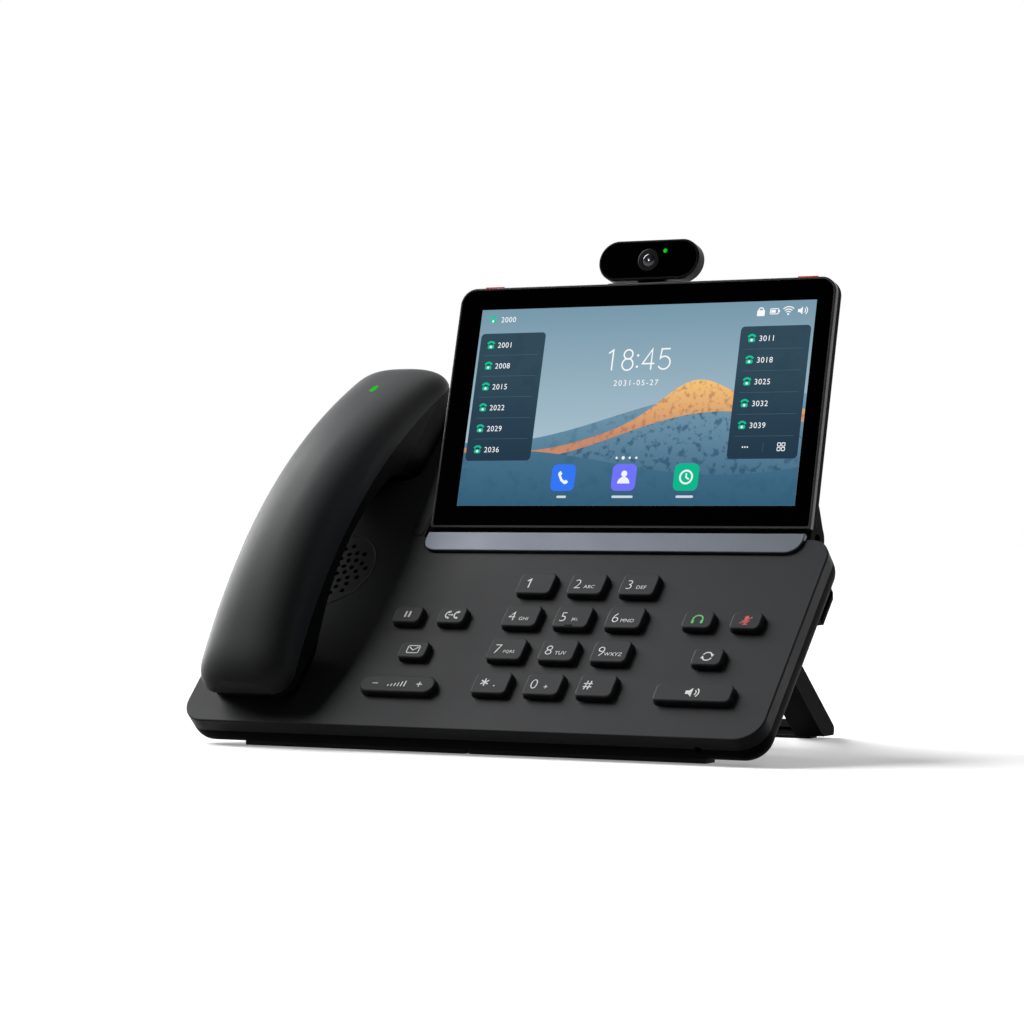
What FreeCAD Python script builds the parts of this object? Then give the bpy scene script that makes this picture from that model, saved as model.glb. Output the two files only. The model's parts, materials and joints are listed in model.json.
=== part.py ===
import FreeCAD, Part
import Sketcher
import math
import os
import re

# Desk phone with a touch display on a hinge, a camera above it and a cordless handset.
# Millimetres. Row frame: +X to the user's right, +Y away from the user, +Z up, desk at Z = 0.
# Most pieces are drawn in the frame of the sloping keypad face: x across, y up the slope,
# z out of the face. The display has a frame of its own, with y up the glass and z out of it.

doc = FreeCAD.newDocument("desk_phone")
sheet = doc.addObject("Spreadsheet::Sheet", "dims")

DIMENSIONS = [
    # base casing
    ("slab_tilt", 46.0, "slope of the keypad face above the desk, degrees"),
    ("front_y", -79.9, "row Y of the keypad face's front edge"),
    ("front_z", 10.25, "height of the keypad face's front edge"),
    ("base_width", 260.8, "casing, side to side"),
    ("front_depth", 103.4, "keypad face up the slope, right of the column"),
    ("column_depth", 158.0, "handset column up the slope"),
    ("column_right", -55.2, "right side of the handset column"),
    ("base_corner", 11.0, "front corners in plan"),
    ("rear_corner", 10.0, "rear corners in plan"),
    ("inner_corner", 0.9, "corner between the column and the keypad"),
    ("base_thickness", 17.8, "casing, keypad face to underside"),
    ("top_cover_height", 6.3, "keypad face to the parting line"),
    ("cover_wall", 2.2, "moulded wall of the top cover"),
    ("top_edge_round", 0.6, "edge of the keypad face"),
    ("bottom_edge_round", 9.0, "edge of the underside"),
    ("bottom_wall", 4.6, "side wall of the bottom cover"),
    ("floor_wall", 2.0, "floor of the bottom cover"),
    ("seam", 0.4, "bevel along the parting line"),
    ("boss_radius", 3.4, "screw boss"),
    ("screw_radius", 1.3, "screw shank"),
    ("screw_head_radius", 2.6, "screw head"),
    ("screw_head_height", 1.7, "screw head"),
    # handset cradle
    ("cradle_left", -122.7, "ear cup recess"),
    ("cradle_right", -70.4, "ear cup recess"),
    ("cradle_front", 136.5, "ear cup recess, up the slope"),
    ("cradle_depth", 9.0, "ear cup recess below the face"),
    ("cradle_corner", 9.0, "ear cup recess corner"),
    ("tongue_right", -75.2, "tongue under the ear end"),
    ("tongue_end", 190.0, "tongue under the ear end, up the slope"),
    ("charge_pitch", 12.0, "between the two charging pins"),
    ("charge_y", 25.0, "charging pins up the slope"),
    ("charge_radius", 1.2, "charging pin"),
    # strip, trim, grille
    ("panel_x", 32.3, "middle of the keypad, strip and display"),
    ("strip_width", 171.2, "metal strip"),
    ("strip_depth", 10.2, "metal strip up the slope"),
    ("strip_front", 95.2, "metal strip's front edge up the slope"),
    ("strip_height", 1.2, "strip above the face"),
    ("strip_seat", 0.8, "strip let into the face"),
    ("strip_gap", 0.9, "shadow gap round the strip"),
    ("strip_corner", 6.5, "strip's front corners"),
    ("strip_edge", 0.3, "strip's top edge"),
    ("trim_left", -62.4, "trim panel beside the display"),
    ("trim_right", -56.6, "trim panel beside the display"),
    ("trim_front", 104.0, "trim panel up the slope"),
    ("trim_back", 156.8, "trim panel's back end up the slope"),
    ("trim_seat", 1.0, "trim let into the face"),
    ("trim_height", 0.25, "trim above the face"),
    ("trim_corner", 2.0, "trim panel corner"),
    ("grille_x", -92.6, "speaker grille"),
    ("grille_y", 84.5, "speaker grille up the slope"),
    ("grille_radius", 19.6, "speaker grille"),
    ("grille_hole", 1.1, "grille hole radius"),
    ("grille_margin", 3.2, "outermost grille holes from the grille's edge"),
    ("fit_gap", 0.15, "gap round a fixed insert"),
    # keys
    ("dial_pitch_x", 23.18, "dial keys across"),
    ("dial_pitch_y", 17.74, "dial keys up the slope"),
    ("dial_front", 22.6, "bottom row of dial keys"),
    ("dial_width", 16.2, "dial key"),
    ("dial_depth", 11.5, "dial key"),
    ("small_width", 13.0, "function key"),
    ("small_depth", 9.0, "function key"),
    ("group_offset", 65.4, "side key groups from the middle"),
    ("group_pitch", 20.6, "side key pair"),
    ("upper_row", 57.8, "side keys, upper row"),
    ("middle_row", 38.9, "side keys, middle row"),
    ("lower_row", 20.5, "side keys, lower row"),
    ("wide_width", 33.0, "speaker key"),
    ("rocker_width", 34.5, "volume rocker"),
    ("rocker_depth", 8.7, "volume rocker"),
    ("key_height", 2.6, "key above the face"),
    ("key_corner", 2.3, "key corner in plan"),
    ("key_edge", 0.8, "key top edge"),
    ("key_gap", 0.35, "running gap round a key"),
    ("key_flange", 0.9, "retaining flange past the key"),
    ("flange_thickness", 1.0, "retaining flange"),
    ("flange_corner", 0.8, "retaining flange corner"),
    ("flange_drop", 0.3, "flange below the cover plate"),
    ("rocker_drop", 0.6, "rocker's flange below the cover plate"),
    # boards under the keys
    ("sheet_top", -4.9, "dome sheet, below the face"),
    ("sheet_thickness", 0.6, "dome sheet"),
    ("board_thickness", 1.6, "circuit boards"),
    ("main_board_top", -11.4, "main board, below the face"),
    # display
    ("display_tilt", 75.0, "glass above the desk, degrees"),
    ("display_back", 75.14, "glass's bottom edge behind the keypad face's front edge"),
    ("display_z", 88.68, "height of the glass's bottom edge"),
    ("display_width", 173.0, "display casing"),
    ("display_height", 104.9, "display casing"),
    ("display_corner", 7.0, "display's upper corners"),
    ("display_heel", 0.8, "display's corners at the hinge"),
    ("display_depth", 7.6, "display casing"),
    ("bezel_depth", 2.6, "front frame"),
    ("bezel_rim", 1.0, "frame showing round the glass"),
    ("bezel_ledge", 3.8, "ledge behind the glass"),
    ("glass_thickness", 1.15, "cover glass"),
    ("lcd_width", 161.0, "panel module"),
    ("lcd_height", 92.4, "panel module"),
    ("lcd_thickness", 3.4, "panel module"),
    ("rear_wall", 1.7, "rear cover wall"),
    ("rear_round", 2.4, "rear cover edge"),
    ("light_length", 8.7, "indicator bar"),
    ("light_left", -39.2, "left indicator, middle"),
    ("light_right", 105.2, "right indicator, middle"),
    ("light_proud", 0.75, "indicator above the casing"),
    ("light_seat", 0.35, "indicator sunk into the casing"),
    ("light_depth", 2.45, "indicator, front to back"),
    ("light_back", -3.5, "indicator's back behind the glass plane"),
    # display hinge
    ("hinge_y", 110.6, "hinge axis up the slope"),
    ("hinge_z", -8.3, "hinge axis below the face"),
    ("barrel_radius", 6.8, "hinge barrel"),
    ("barrel_length", 172.4, "hinge barrel"),
    ("lug_radius", 5.4, "bracket lug"),
    ("lug_width", 14.0, "bracket lug"),
    ("lug_offset", 52.0, "brackets from the middle"),
    ("slot_clearance", 0.5, "slot round a bracket"),
    ("pin_radius", 2.5, "hinge pin"),
    ("pin_length", 40.0, "hinge pin"),
    ("running_gap", 0.06, "hinge bore round its pin"),
    # camera
    ("camera_x", 31.7, "camera's middle"),
    ("camera_width", 46.2, "camera's front shell"),
    ("camera_height", 17.4, "camera's front shell"),
    ("camera_shell_depth", 5.6, "camera's front shell"),
    ("camera_back_width", 38.0, "camera's back"),
    ("camera_depth", 9.4, "camera, front to back"),
    ("camera_y", 115.6, "camera centre up the glass"),
    ("camera_front", -2.1, "camera face behind the glass plane"),
    ("camera_rim", 1.0, "rim round the camera window"),
    ("camera_window", 1.0, "window thickness"),
    ("lens_radius", 4.7, "camera lens"),
    ("lens_length", 4.0, "camera lens"),
    ("camera_pivot_y", 109.4, "camera pivot up the glass"),
    ("camera_pivot_z", -8.4, "camera pivot behind the glass"),
    ("stem_width", 12.0, "camera foot's stem"),
    ("stem_radius", 2.0, "stem end round the pivot"),
    ("pivot_radius", 1.2, "camera pivot pin"),
    ("foot_width", 35.0, "camera foot"),
    # handset
    ("handset_x", -99.2, "handset's middle"),
    ("handset_front", 9.0, "mouth end up the slope"),
    ("handset_end", 199.5, "ear end up the slope"),
    ("handset_end_width", 44.4, "handset at its ends"),
    ("handset_waist", 40.8, "handset at the grip"),
    ("shell_wall", 2.0, "handset shells"),
    ("mouth_inset", 1.8, "inner shell inside the outer, mouth end"),
    ("ear_inset", 0.35, "inner shell inside the outer, ear end"),
    ("mouth_rest", 0.6, "mouth end above the face"),
    ("grip_clearance", 13.5, "grip above the face"),
    ("handset_light_y", 171.5, "status light up the slope"),
    ("handset_light_length", 5.6, "status light"),
    ("handset_light_width", 2.3, "status light"),
    # stand, feet and ports
    ("stand_tilt", 39.0, "stand leg above the desk, degrees"),
    ("stand_back", 170.0, "where the leg's outer face would meet the desk, behind the front edge"),
    ("stand_tip", 6.1, "leg's square end, up the leg from the desk"),
    ("stand_round", 3.0, "leg's outer end edge"),
    ("stand_half_width", 90.8, "stand"),
    ("stand_panel", 4.0, "stand panel"),
    ("stand_band", 10.0, "stand's side band, thickness"),
    ("stand_band_width", 13.0, "stand's side band"),
    ("stand_length", 118.5, "stand leg"),
    ("stand_bar", 12.0, "stand's bottom bar"),
    ("pad_height", 1.2, "rubber under the stand"),
    ("foot_length", 103.0, "front foot strip"),
    ("foot_spread", 52.5, "middle of a front foot strip"),
    ("bay_left", -47.2, "port bay"),
    ("bay_right", 64.8, "port bay"),
    ("bay_height", 22.0, "port bay's rear face"),
    ("port_back", 82.4, "port bay's rear face behind the front edge"),
    ("port_z", 61.5, "height of the port row"),
    ("network_x", -11.2, "network socket"),
    ("computer_x", 8.8, "computer socket"),
    ("headset_x", 30.8, "headset socket"),
    ("power_x", -33.2, "power socket"),
    ("power_radius", 3.1, "power socket's bore"),
    ("power_depth", 10.0, "power socket's bore"),
    ("hump_left", 97.8, "side port housing"),
    ("hump_right", 120.8, "side port housing"),
    ("hump_front", 83.0, "side port housing up the slope"),
    ("hump_bottom", -32.0, "side port housing below the face"),
]

ALIASES = [row[0] for row in DIMENSIONS]
for line, (alias, number, note) in enumerate(DIMENSIONS, 1):
    sheet.set(f"A{line}", alias)
    sheet.set(f"B{line}", str(number))
    sheet.setAlias(f"B{line}", alias)
    sheet.set(f"C{line}", note)
doc.recompute()

WORD = re.compile(r"\b(" + "|".join(sorted(ALIASES, key=len, reverse=True)) + r")\b")
sub_parts = []


def formula(text):
    """Writes a formula on the sheet's words in the document's own notation."""
    return WORD.sub(r"dims.\1", str(text))


def value(text):
    return float(sheet.evalExpression(formula(text)))


def bind(item, prop, text):
    item.setExpression(prop, formula(text))


def keep(item, label):
    """Counts an object as a sub-part under its own label."""
    item.Label = label
    sub_parts.append(item)
    return item


# Frames

FRAMES = {
    "row": (0.0, "0", "0"),
    "slab": ("slab_tilt", "front_y", "front_z"),
    "display": ("display_tilt", "front_y + display_back", "display_z"),
}


def put(item, frame):
    """Gives an object the placement of the keypad face or of the display."""
    tilt, y, z = FRAMES[frame]
    turn = FreeCAD.Rotation(FreeCAD.Vector(1, 0, 0), value(tilt))
    item.Placement = FreeCAD.Placement(FreeCAD.Vector(0, value(y), value(z)), turn)
    if frame != "row":
        bind(item, "Placement.Rotation.Angle", tilt)
        bind(item, "Placement.Base.y", y)
        bind(item, "Placement.Base.z", z)
    return item


def frame_placement(frame):
    tilt, y, z = FRAMES[frame]
    turn = FreeCAD.Rotation(FreeCAD.Vector(1, 0, 0), value(tilt))
    return FreeCAD.Placement(FreeCAD.Vector(0, value(y), value(z)), turn)


SLAB = frame_placement("slab")
DISPLAY = frame_placement("display")


# Sketched features

def new_body(name, frame):
    return put(doc.addObject("PartDesign::Body", name), frame)


def polygon(body, corners, plane="XY_Plane", level="0"):
    """A closed outline whose corners are formulas on the sheet."""
    sketch = body.newObject("Sketcher::SketchObject", body.Name + "_outline")
    origin = [item for item in body.Origin.OriginFeatures if item.Role == plane][0]
    sketch.AttachmentSupport = (origin, [""])
    sketch.MapMode = "FlatFace"
    bind(sketch, "AttachmentOffset.Base.z", level)
    count = len(corners)
    points = [FreeCAD.Vector(value(x), value(y), 0) for x, y in corners]
    lines = [Part.LineSegment(points[i], points[(i + 1) % count]) for i in range(count)]
    sketch.addGeometry(lines, False)
    for i in range(count):
        sketch.addConstraint(Sketcher.Constraint("Coincident", i, 2, (i + 1) % count, 1))
    for i, corner in enumerate(corners):
        for kind, text in zip(("DistanceX", "DistanceY"), corner):
            number = sketch.addConstraint(Sketcher.Constraint(kind, -1, 1, i, 1, value(text)))
            bind(sketch, f"Constraints[{number}]", text)
    return sketch


def circles(body, centres, radius, level="0"):
    """Round outlines of one radius."""
    sketch = body.newObject("Sketcher::SketchObject", body.Name + "_rounds")
    origin = [item for item in body.Origin.OriginFeatures if item.Role == "XY_Plane"][0]
    sketch.AttachmentSupport = (origin, [""])
    sketch.MapMode = "FlatFace"
    bind(sketch, "AttachmentOffset.Base.z", level)
    for i, (x, y) in enumerate(centres):
        centre = FreeCAD.Vector(value(x), value(y), 0)
        sketch.addGeometry(Part.Circle(centre, FreeCAD.Vector(0, 0, 1), value(radius)), False)
        for kind, text in (("DistanceX", x), ("DistanceY", y)):
            number = sketch.addConstraint(Sketcher.Constraint(kind, -1, 1, i, 3, value(text)))
            bind(sketch, f"Constraints[{number}]", text)
        number = sketch.addConstraint(Sketcher.Constraint("Radius", i, value(radius)))
        bind(sketch, f"Constraints[{number}]", radius)
    return sketch


def feature(body, kind, sketch, length, both_ways=False, reverse=False):
    item = body.newObject("PartDesign::" + kind, body.Name + "_" + kind.lower())
    item.Profile = sketch
    bind(item, "Length", length)
    item.Midplane = both_ways
    item.Reversed = reverse
    doc.recompute()
    return item


def pad(body, sketch, length, **options):
    return feature(body, "Pad", sketch, length, **options)


def pocket(body, sketch, length, **options):
    return feature(body, "Pocket", sketch, length, **options)


def rectangle(x_low, x_high, y_low, y_high):
    return [(x_low, y_low), (x_high, y_low), (x_high, y_high), (x_low, y_high)]


def centred(x, y, width, depth):
    return rectangle(f"({x}) - ({width}) / 2", f"({x}) + ({width}) / 2",
                     f"({y}) - ({depth}) / 2", f"({y}) + ({depth}) / 2")


TOUCH = 1e-4


def upright(edge):
    return edge.BoundBox.XLength < TOUCH and edge.BoundBox.YLength < TOUCH


def level_edges(height):
    """Picks the edges that lie flat at a height."""
    def wanted(edge):
        box = edge.BoundBox
        return abs(box.ZMin - height) < TOUCH and abs(box.ZMax - height) < TOUCH
    return wanted


def across_edges(y, z):
    """Picks the edges that run across at a place in side view."""
    def wanted(edge):
        box = edge.BoundBox
        return max(abs(box.YMin - y), abs(box.YMax - y), abs(box.ZMin - z), abs(box.ZMax - z)) < TOUCH
    return wanted


def near(*places):
    """Picks the upright edges at given places in plan."""
    spots = [(value(x), value(y)) for x, y in places]

    def wanted(edge):
        middle = edge.BoundBox.Center
        return upright(edge) and any(math.hypot(middle.x - x, middle.y - y) < 0.01 for x, y in spots)
    return wanted


def round_off(body, base, radius, wanted, kind="Fillet"):
    """Rounds or bevels the edges of a body's last feature that the test picks."""
    names = [f"Edge{i}" for i, edge in enumerate(base.Shape.Edges, 1) if wanted(edge)]
    item = body.newObject("PartDesign::" + kind, body.Name + "_edge")
    item.Base = (base, names)
    bind(item, "Radius" if kind == "Fillet" else "Size", radius)
    doc.recompute()
    return item


def plate(name, frame, corners, level, thickness, corner=None, edge=None):
    """A flat piece: an outline padded up from a level, with rounded corners and top edge."""
    body = new_body(name, frame)
    last = pad(body, polygon(body, corners, level=level), thickness)
    if corner:
        last = round_off(body, last, corner, upright)
    if edge:
        top = value(level) + value(thickness)
        round_off(body, last, edge, level_edges(top))
    return body


def disc(name, frame, centres, radius, level, thickness):
    body = new_body(name, frame)
    pad(body, circles(body, centres, radius, level), thickness)
    return body


# Booleans on finished bodies

def joined(name, items):
    item = doc.addObject("Part::MultiFuse", name)
    item.Shapes = items
    item.Refine = True
    return item


def grouped(name, items):
    item = doc.addObject("Part::Compound", name)
    item.Links = items
    return item


def cut(name, base, tool):
    item = doc.addObject("Part::Cut", name)
    item.Base = base
    item.Tool = tool
    return item


def box(name, corner, size):
    """A block along the row's axes; corner and size are formulas."""
    item = doc.addObject("Part::Box", name)
    for prop, text in zip(("Length", "Width", "Height"), size):
        bind(item, prop, text)
    for axis, text in zip("xyz", corner):
        bind(item, "Placement.Base." + axis, text)
    return item


def rod(name, start_x, point, radius, length):
    """A round bar along X; point gives the axis in the row's Y and Z."""
    item = doc.addObject("Part::Cylinder", name)
    along_x = FreeCAD.Rotation(FreeCAD.Vector(0, 1, 0), 90)
    item.Placement = FreeCAD.Placement(FreeCAD.Vector(0, point.y, point.z), along_x)
    bind(item, "Placement.Base.x", start_x)
    bind(item, "Radius", radius)
    bind(item, "Height", length)
    return item


def as_feature(name, shape, frame="row"):
    item = doc.addObject("Part::Feature", name)
    item.Shape = shape
    item.Placement = frame_placement(frame)
    return item


# Key layout: label, middle across, middle up the slope, width, depth

DIAL_LABELS = [["key_star", "key_0", "key_hash"], ["key_7", "key_8", "key_9"],
               ["key_4", "key_5", "key_6"], ["key_1", "key_2", "key_3"]]
KEYS = []
for row, labels in enumerate(DIAL_LABELS):
    for column, label in enumerate(labels):
        KEYS.append((label, f"panel_x + {column - 1} * dial_pitch_x", f"dial_front + {row} * dial_pitch_y",
                     "dial_width", "dial_depth"))
LEFT_GROUP = "panel_x - group_offset"
RIGHT_GROUP = "panel_x + group_offset"
KEYS += [
    ("hold_key", LEFT_GROUP + " - group_pitch / 2", "upper_row", "small_width", "small_depth"),
    ("transfer_key", LEFT_GROUP + " + group_pitch / 2", "upper_row", "small_width", "small_depth"),
    ("message_key", LEFT_GROUP, "middle_row", "small_width", "small_depth"),
    ("headset_key", RIGHT_GROUP + " - group_pitch / 2", "upper_row", "small_width", "small_depth"),
    ("mute_key", RIGHT_GROUP + " + group_pitch / 2", "upper_row", "small_width", "small_depth"),
    ("redial_key", RIGHT_GROUP, "middle_row", "small_width", "small_depth"),
    ("speaker_key", RIGHT_GROUP, "lower_row", "wide_width", "small_depth"),
]
ROCKER = ("volume_rocker", LEFT_GROUP, "lower_row", "rocker_width", "rocker_depth")
PLATE_BOTTOM = "-cover_wall"


def key_cap(label, x, y, width, depth, corner, drop="flange_drop"):
    """A key cap with the flange that holds it under the cover plate."""
    body = new_body(label, "slab")
    cap = polygon(body, centred(x, y, width, depth), level=f"-cover_wall - {drop}")
    last = pad(body, cap, f"key_height + cover_wall + {drop}")
    last = round_off(body, last, corner, upright)
    round_off(body, last, "key_edge", level_edges(value("key_height")))
    flange = centred(x, y, f"({width}) + 2 * key_flange", f"({depth}) + 2 * key_flange")
    foot = f"-cover_wall - {drop} - flange_thickness"
    last = pad(body, polygon(body, flange, level=foot), "flange_thickness")
    round_off(body, last, "flange_corner", below_plate)
    return keep(body, label)


def below_plate(edge):
    return upright(edge) and edge.BoundBox.ZMax < -value("cover_wall")


def key_opening(label, x, y, width, depth, corner):
    room = centred(x, y, f"({width}) + 2 * key_gap", f"({depth}) + 2 * key_gap")
    return plate(label + "_opening", "slab", room, "-cover_wall - 1", "cover_wall + 2",
                 corner=f"({corner}) + key_gap")


openings = []
for label, x, y, width, depth in KEYS:
    key_cap(label, x, y, width, depth, "key_corner")
    openings.append(key_opening(label, x, y, width, depth, "key_corner"))
ROCKER_CORNER = "rocker_depth / 2 - 0.05"
key_cap(*ROCKER, ROCKER_CORNER, drop="rocker_drop")
openings.append(key_opening(*ROCKER, ROCKER_CORNER))

# Base casing

HALF = "base_width / 2"
BASE_OUTLINE = [("-" + HALF, "0"), (HALF, "0"), (HALF, "front_depth"), ("column_right", "front_depth"),
                ("column_right", "column_depth"), ("-" + HALF, "column_depth")]
BASE_CORNERS = [("base_corner", [0, 1]), ("rear_corner", [2, 4, 5]), ("inner_corner", [3])]


def inset_outline(wall):
    """The base outline moved inwards by a wall."""
    return [(f"-{HALF} + {wall}", wall), (f"{HALF} - {wall}", wall),
            (f"{HALF} - {wall}", f"front_depth - {wall}"),
            (f"column_right - {wall}", f"front_depth - {wall}"),
            (f"column_right - {wall}", f"column_depth - {wall}"),
            (f"-{HALF} + {wall}", f"column_depth - {wall}")]


def round_base(body, last, outline, change="0"):
    """Rounds the six corners of the base outline; inner walls have smaller rounds."""
    for radius, picks in BASE_CORNERS:
        size = f"{radius} + {change}" if radius == "inner_corner" else f"{radius} - {change}"
        last = round_off(body, last, size, near(*[outline[i] for i in picks]))
    return last


SCREWS = [("118.8", "14"), ("118.8", "70"), ("-62.2", "14"), ("-120", "54"), ("-120", "124"),
          ("-64.2", "124")]

top = new_body("top_cover_body", "slab")
last = pad(top, polygon(top, BASE_OUTLINE, level="-top_cover_height"), "top_cover_height")
last = round_base(top, last, BASE_OUTLINE)
last = round_off(top, last, "top_edge_round", level_edges(0.0))
inner = inset_outline("cover_wall")
hollow = plate("top_hollow", "slab", inner, "-top_cover_height - 1", "top_cover_height + 1 - cover_wall")
round_base(hollow, hollow.Tip, inner, "cover_wall")
bowl_outline = rectangle("cradle_left - cover_wall", "cradle_right + cover_wall", "cradle_front - cover_wall",
                         "column_depth")
BOWL_BOTTOM = "-cradle_depth - floor_wall"
bowl = plate("ear_bowl", "slab", bowl_outline, BOWL_BOTTOM, "cradle_depth + floor_wall - 0.2")
tongue_plate = plate("tongue_plate", "slab",
                     rectangle("cradle_left", "tongue_right", "column_depth - 1", "tongue_end"),
                     BOWL_BOTTOM, "floor_wall")
bosses = disc("top_bosses", "slab", SCREWS, "boss_radius", "-top_cover_height", "top_cover_height - 1")
recess = plate("ear_recess", "slab",
               rectangle("cradle_left", "cradle_right", "cradle_front", "tongue_end + 30"),
               "-cradle_depth", "cradle_depth + 5", corner="cradle_corner")
strip_room = plate("strip_room", "slab",
                   rectangle("panel_x - strip_width / 2 - strip_gap", "panel_x + strip_width / 2 + strip_gap",
                             "strip_front - strip_gap", "front_depth + 10"),
                   "-strip_seat", "5", corner="strip_corner + strip_gap")
trim_room = plate("trim_room", "slab",
                  rectangle("trim_left - fit_gap", "trim_right + fit_gap", "trim_front - fit_gap",
                            "trim_back + fit_gap"), "-trim_seat", "5", corner="trim_corner + fit_gap")
grille_room = disc("grille_room", "slab", [("grille_x", "grille_y")], "grille_radius + fit_gap",
                   "-cover_wall - 1", "cover_wall + 5")
charge_spots = [("handset_x - charge_pitch / 2", "charge_y"), ("handset_x + charge_pitch / 2", "charge_y")]
charge_room = disc("charge_room", "slab", charge_spots, "charge_radius", "-cover_wall - 1", "cover_wall + 5")
screw_room = disc("top_screw_room", "slab", SCREWS, "screw_radius", "-top_cover_height - 1",
                  "top_cover_height - 1")
shell = cut("top_shell", top, hollow)
shell = joined("top_with_bowl", [shell, bowl, tongue_plate, bosses])
rooms = [recess, strip_room, trim_room, grille_room, charge_room, screw_room]
top_cuts = grouped("top_cuts", openings + rooms)
keep(cut("base_top_cover_cut", shell, top_cuts), "base_top_cover")

bottom = new_body("bottom_cover_body", "slab")
BOTTOM_HEIGHT = "base_thickness - top_cover_height"
last = pad(bottom, polygon(bottom, BASE_OUTLINE, level="-base_thickness"), BOTTOM_HEIGHT)
last = round_base(bottom, last, BASE_OUTLINE)
last = round_off(bottom, last, "bottom_edge_round", level_edges(-value("base_thickness")))
round_off(bottom, last, "seam", level_edges(-value("top_cover_height")), kind="Chamfer")
inner = inset_outline("bottom_wall")
cavity = plate("bottom_cavity", "slab", inner, "-base_thickness + floor_wall", "base_thickness")
round_base(cavity, cavity.Tip, inner, "bottom_wall")
tongue = plate("tongue_block", "slab",
               rectangle("cradle_left", "tongue_right", "column_depth - 12", "tongue_end"),
               "-base_thickness", "base_thickness - cradle_depth - floor_wall")
round_off(tongue, tongue.Tip, "4", level_edges(-value("base_thickness")))
bowl_room = plate("bowl_room", "slab",
                  rectangle("cradle_left - cover_wall - fit_gap", "cradle_right + cover_wall + fit_gap",
                            "cradle_front - cover_wall - fit_gap", "tongue_end + 5"),
                  BOWL_BOTTOM, "base_thickness")
bottom_bosses = disc("bottom_bosses", "slab", SCREWS, "boss_radius", "-base_thickness + 0.5",
                     BOTTOM_HEIGHT + " - 0.5")
head_room = disc("head_room", "slab", SCREWS, "screw_head_radius + 0.1", "-base_thickness - 5",
                 "5 + screw_head_height")
shank_room = disc("shank_room", "slab", SCREWS, "screw_radius", "-base_thickness - 5", "base_thickness")

# Port bay: a wedge under the slope with an upright rear face, and a port housing at the right side
REAR_Y = value("front_y + port_back")
BAY_MIDDLE = "port_z + 1.4"
BAY_TOP = SLAB.inverse().multVec(FreeCAD.Vector(0, REAR_Y, value(BAY_MIDDLE + " + bay_height / 2")))
BAY_LOW = SLAB.inverse().multVec(FreeCAD.Vector(0, REAR_Y, value(BAY_MIDDLE + " - bay_height / 2")))
WALL_LEVEL = "-base_thickness + floor_wall / 2"
forward_run = (value(WALL_LEVEL) - BAY_LOW.z) / math.sin(math.radians(value("slab_tilt")))
forward_y = BAY_LOW.y - forward_run * math.cos(math.radians(value("slab_tilt")))
bay = new_body("port_bay", "slab")
bay_corners = [("front_depth - 3", "-base_thickness / 2"), (BAY_TOP.y, BAY_TOP.z), (BAY_LOW.y, BAY_LOW.z),
               (forward_y, WALL_LEVEL)]
bay_sketch = polygon(bay, bay_corners, plane="YZ_Plane", level="bay_left")
pad(bay, bay_sketch, "bay_right - bay_left")
hump = new_body("side_port_housing", "slab")
hump_corners = [("hump_front", WALL_LEVEL), ("hump_front", "hump_bottom + 4"),
                ("hump_front + 4", "hump_bottom"), ("front_depth - 2.6", "hump_bottom"),
                ("front_depth - 0.6", "hump_bottom + 2"),
                ("front_depth - 0.6", "-base_thickness / 2 + 2")]
hump_sketch = polygon(hump, hump_corners, plane="YZ_Plane", level="hump_left")
pad(hump, hump_sketch, "hump_right - hump_left")
side_recess = new_body("side_recess", "slab")
USB_CENTRE_Y = "hump_front + 11"
USB_CENTRE_Z = "hump_bottom + 6.5"
recess_sketch = polygon(side_recess, centred(USB_CENTRE_Y, USB_CENTRE_Z, "15.5", "9.5"), plane="YZ_Plane",
                        level="hump_right - 8")
pad(side_recess, recess_sketch, "20")
usb_room = new_body("usb_room", "slab")
usb_room_sketch = polygon(usb_room, centred(USB_CENTRE_Y, USB_CENTRE_Z, "14.5", "7.4"), plane="YZ_Plane",
                          level="hump_right - 22")
pad(usb_room, usb_room_sketch, "16")

# Ports along the rear face: label, middle across, width, height, mouth width, mouth height
JACK_DEPTH = "15"
MODULAR = [("network_x", "16.2", "14", "11.8", "8.4"), ("computer_x", "16.2", "14", "11.8", "8.4"),
           ("headset_x", "12.4", "11.4", "8.2", "6.8")]
POWER_X = "power_x"
POWER_SIZE = "10.5"


def jack_block(name, x, width, height, depth=JACK_DEPTH):
    corner = (f"({x}) - ({width}) / 2", f"front_y + port_back - ({depth})", f"port_z - ({height}) / 2")
    return box(name, corner, (width, depth, height))


jack_rooms = [jack_block(f"jack_room_{i}", x, width, height, JACK_DEPTH + " + 5")
              for i, (x, width, height, _, _) in enumerate(MODULAR)]
jack_rooms.append(jack_block("power_room", POWER_X, POWER_SIZE, POWER_SIZE, JACK_DEPTH + " + 5"))
jacks = []
for i, (x, width, height, mouth_width, mouth_height) in enumerate(MODULAR):
    block = jack_block(f"jack_block_{i}", x, width, height)
    mouth_corner = (f"({x}) - {mouth_width} / 2", "front_y + port_back - 12", f"port_z - {mouth_height} / 2")
    mouth = box(f"jack_mouth_{i}", mouth_corner, (mouth_width, "20", mouth_height))
    jacks.append(cut(f"jack_{i}", block, mouth))
keep(grouped("modular_jack_group", jacks), "modular_jacks")
power_block = jack_block("power_block", POWER_X, POWER_SIZE, POWER_SIZE)
power_bore = doc.addObject("Part::Cylinder", "power_bore")
power_bottom = FreeCAD.Vector(value(POWER_X), value("front_y + port_back - power_depth"), value("port_z"))
power_bore.Placement = FreeCAD.Placement(power_bottom, FreeCAD.Rotation(FreeCAD.Vector(1, 0, 0), -90))
bind(power_bore, "Radius", "power_radius")
bind(power_bore, "Height", "power_depth + 10")
keep(cut("power_jack_cut", power_block, power_bore), "power_jack")

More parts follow.
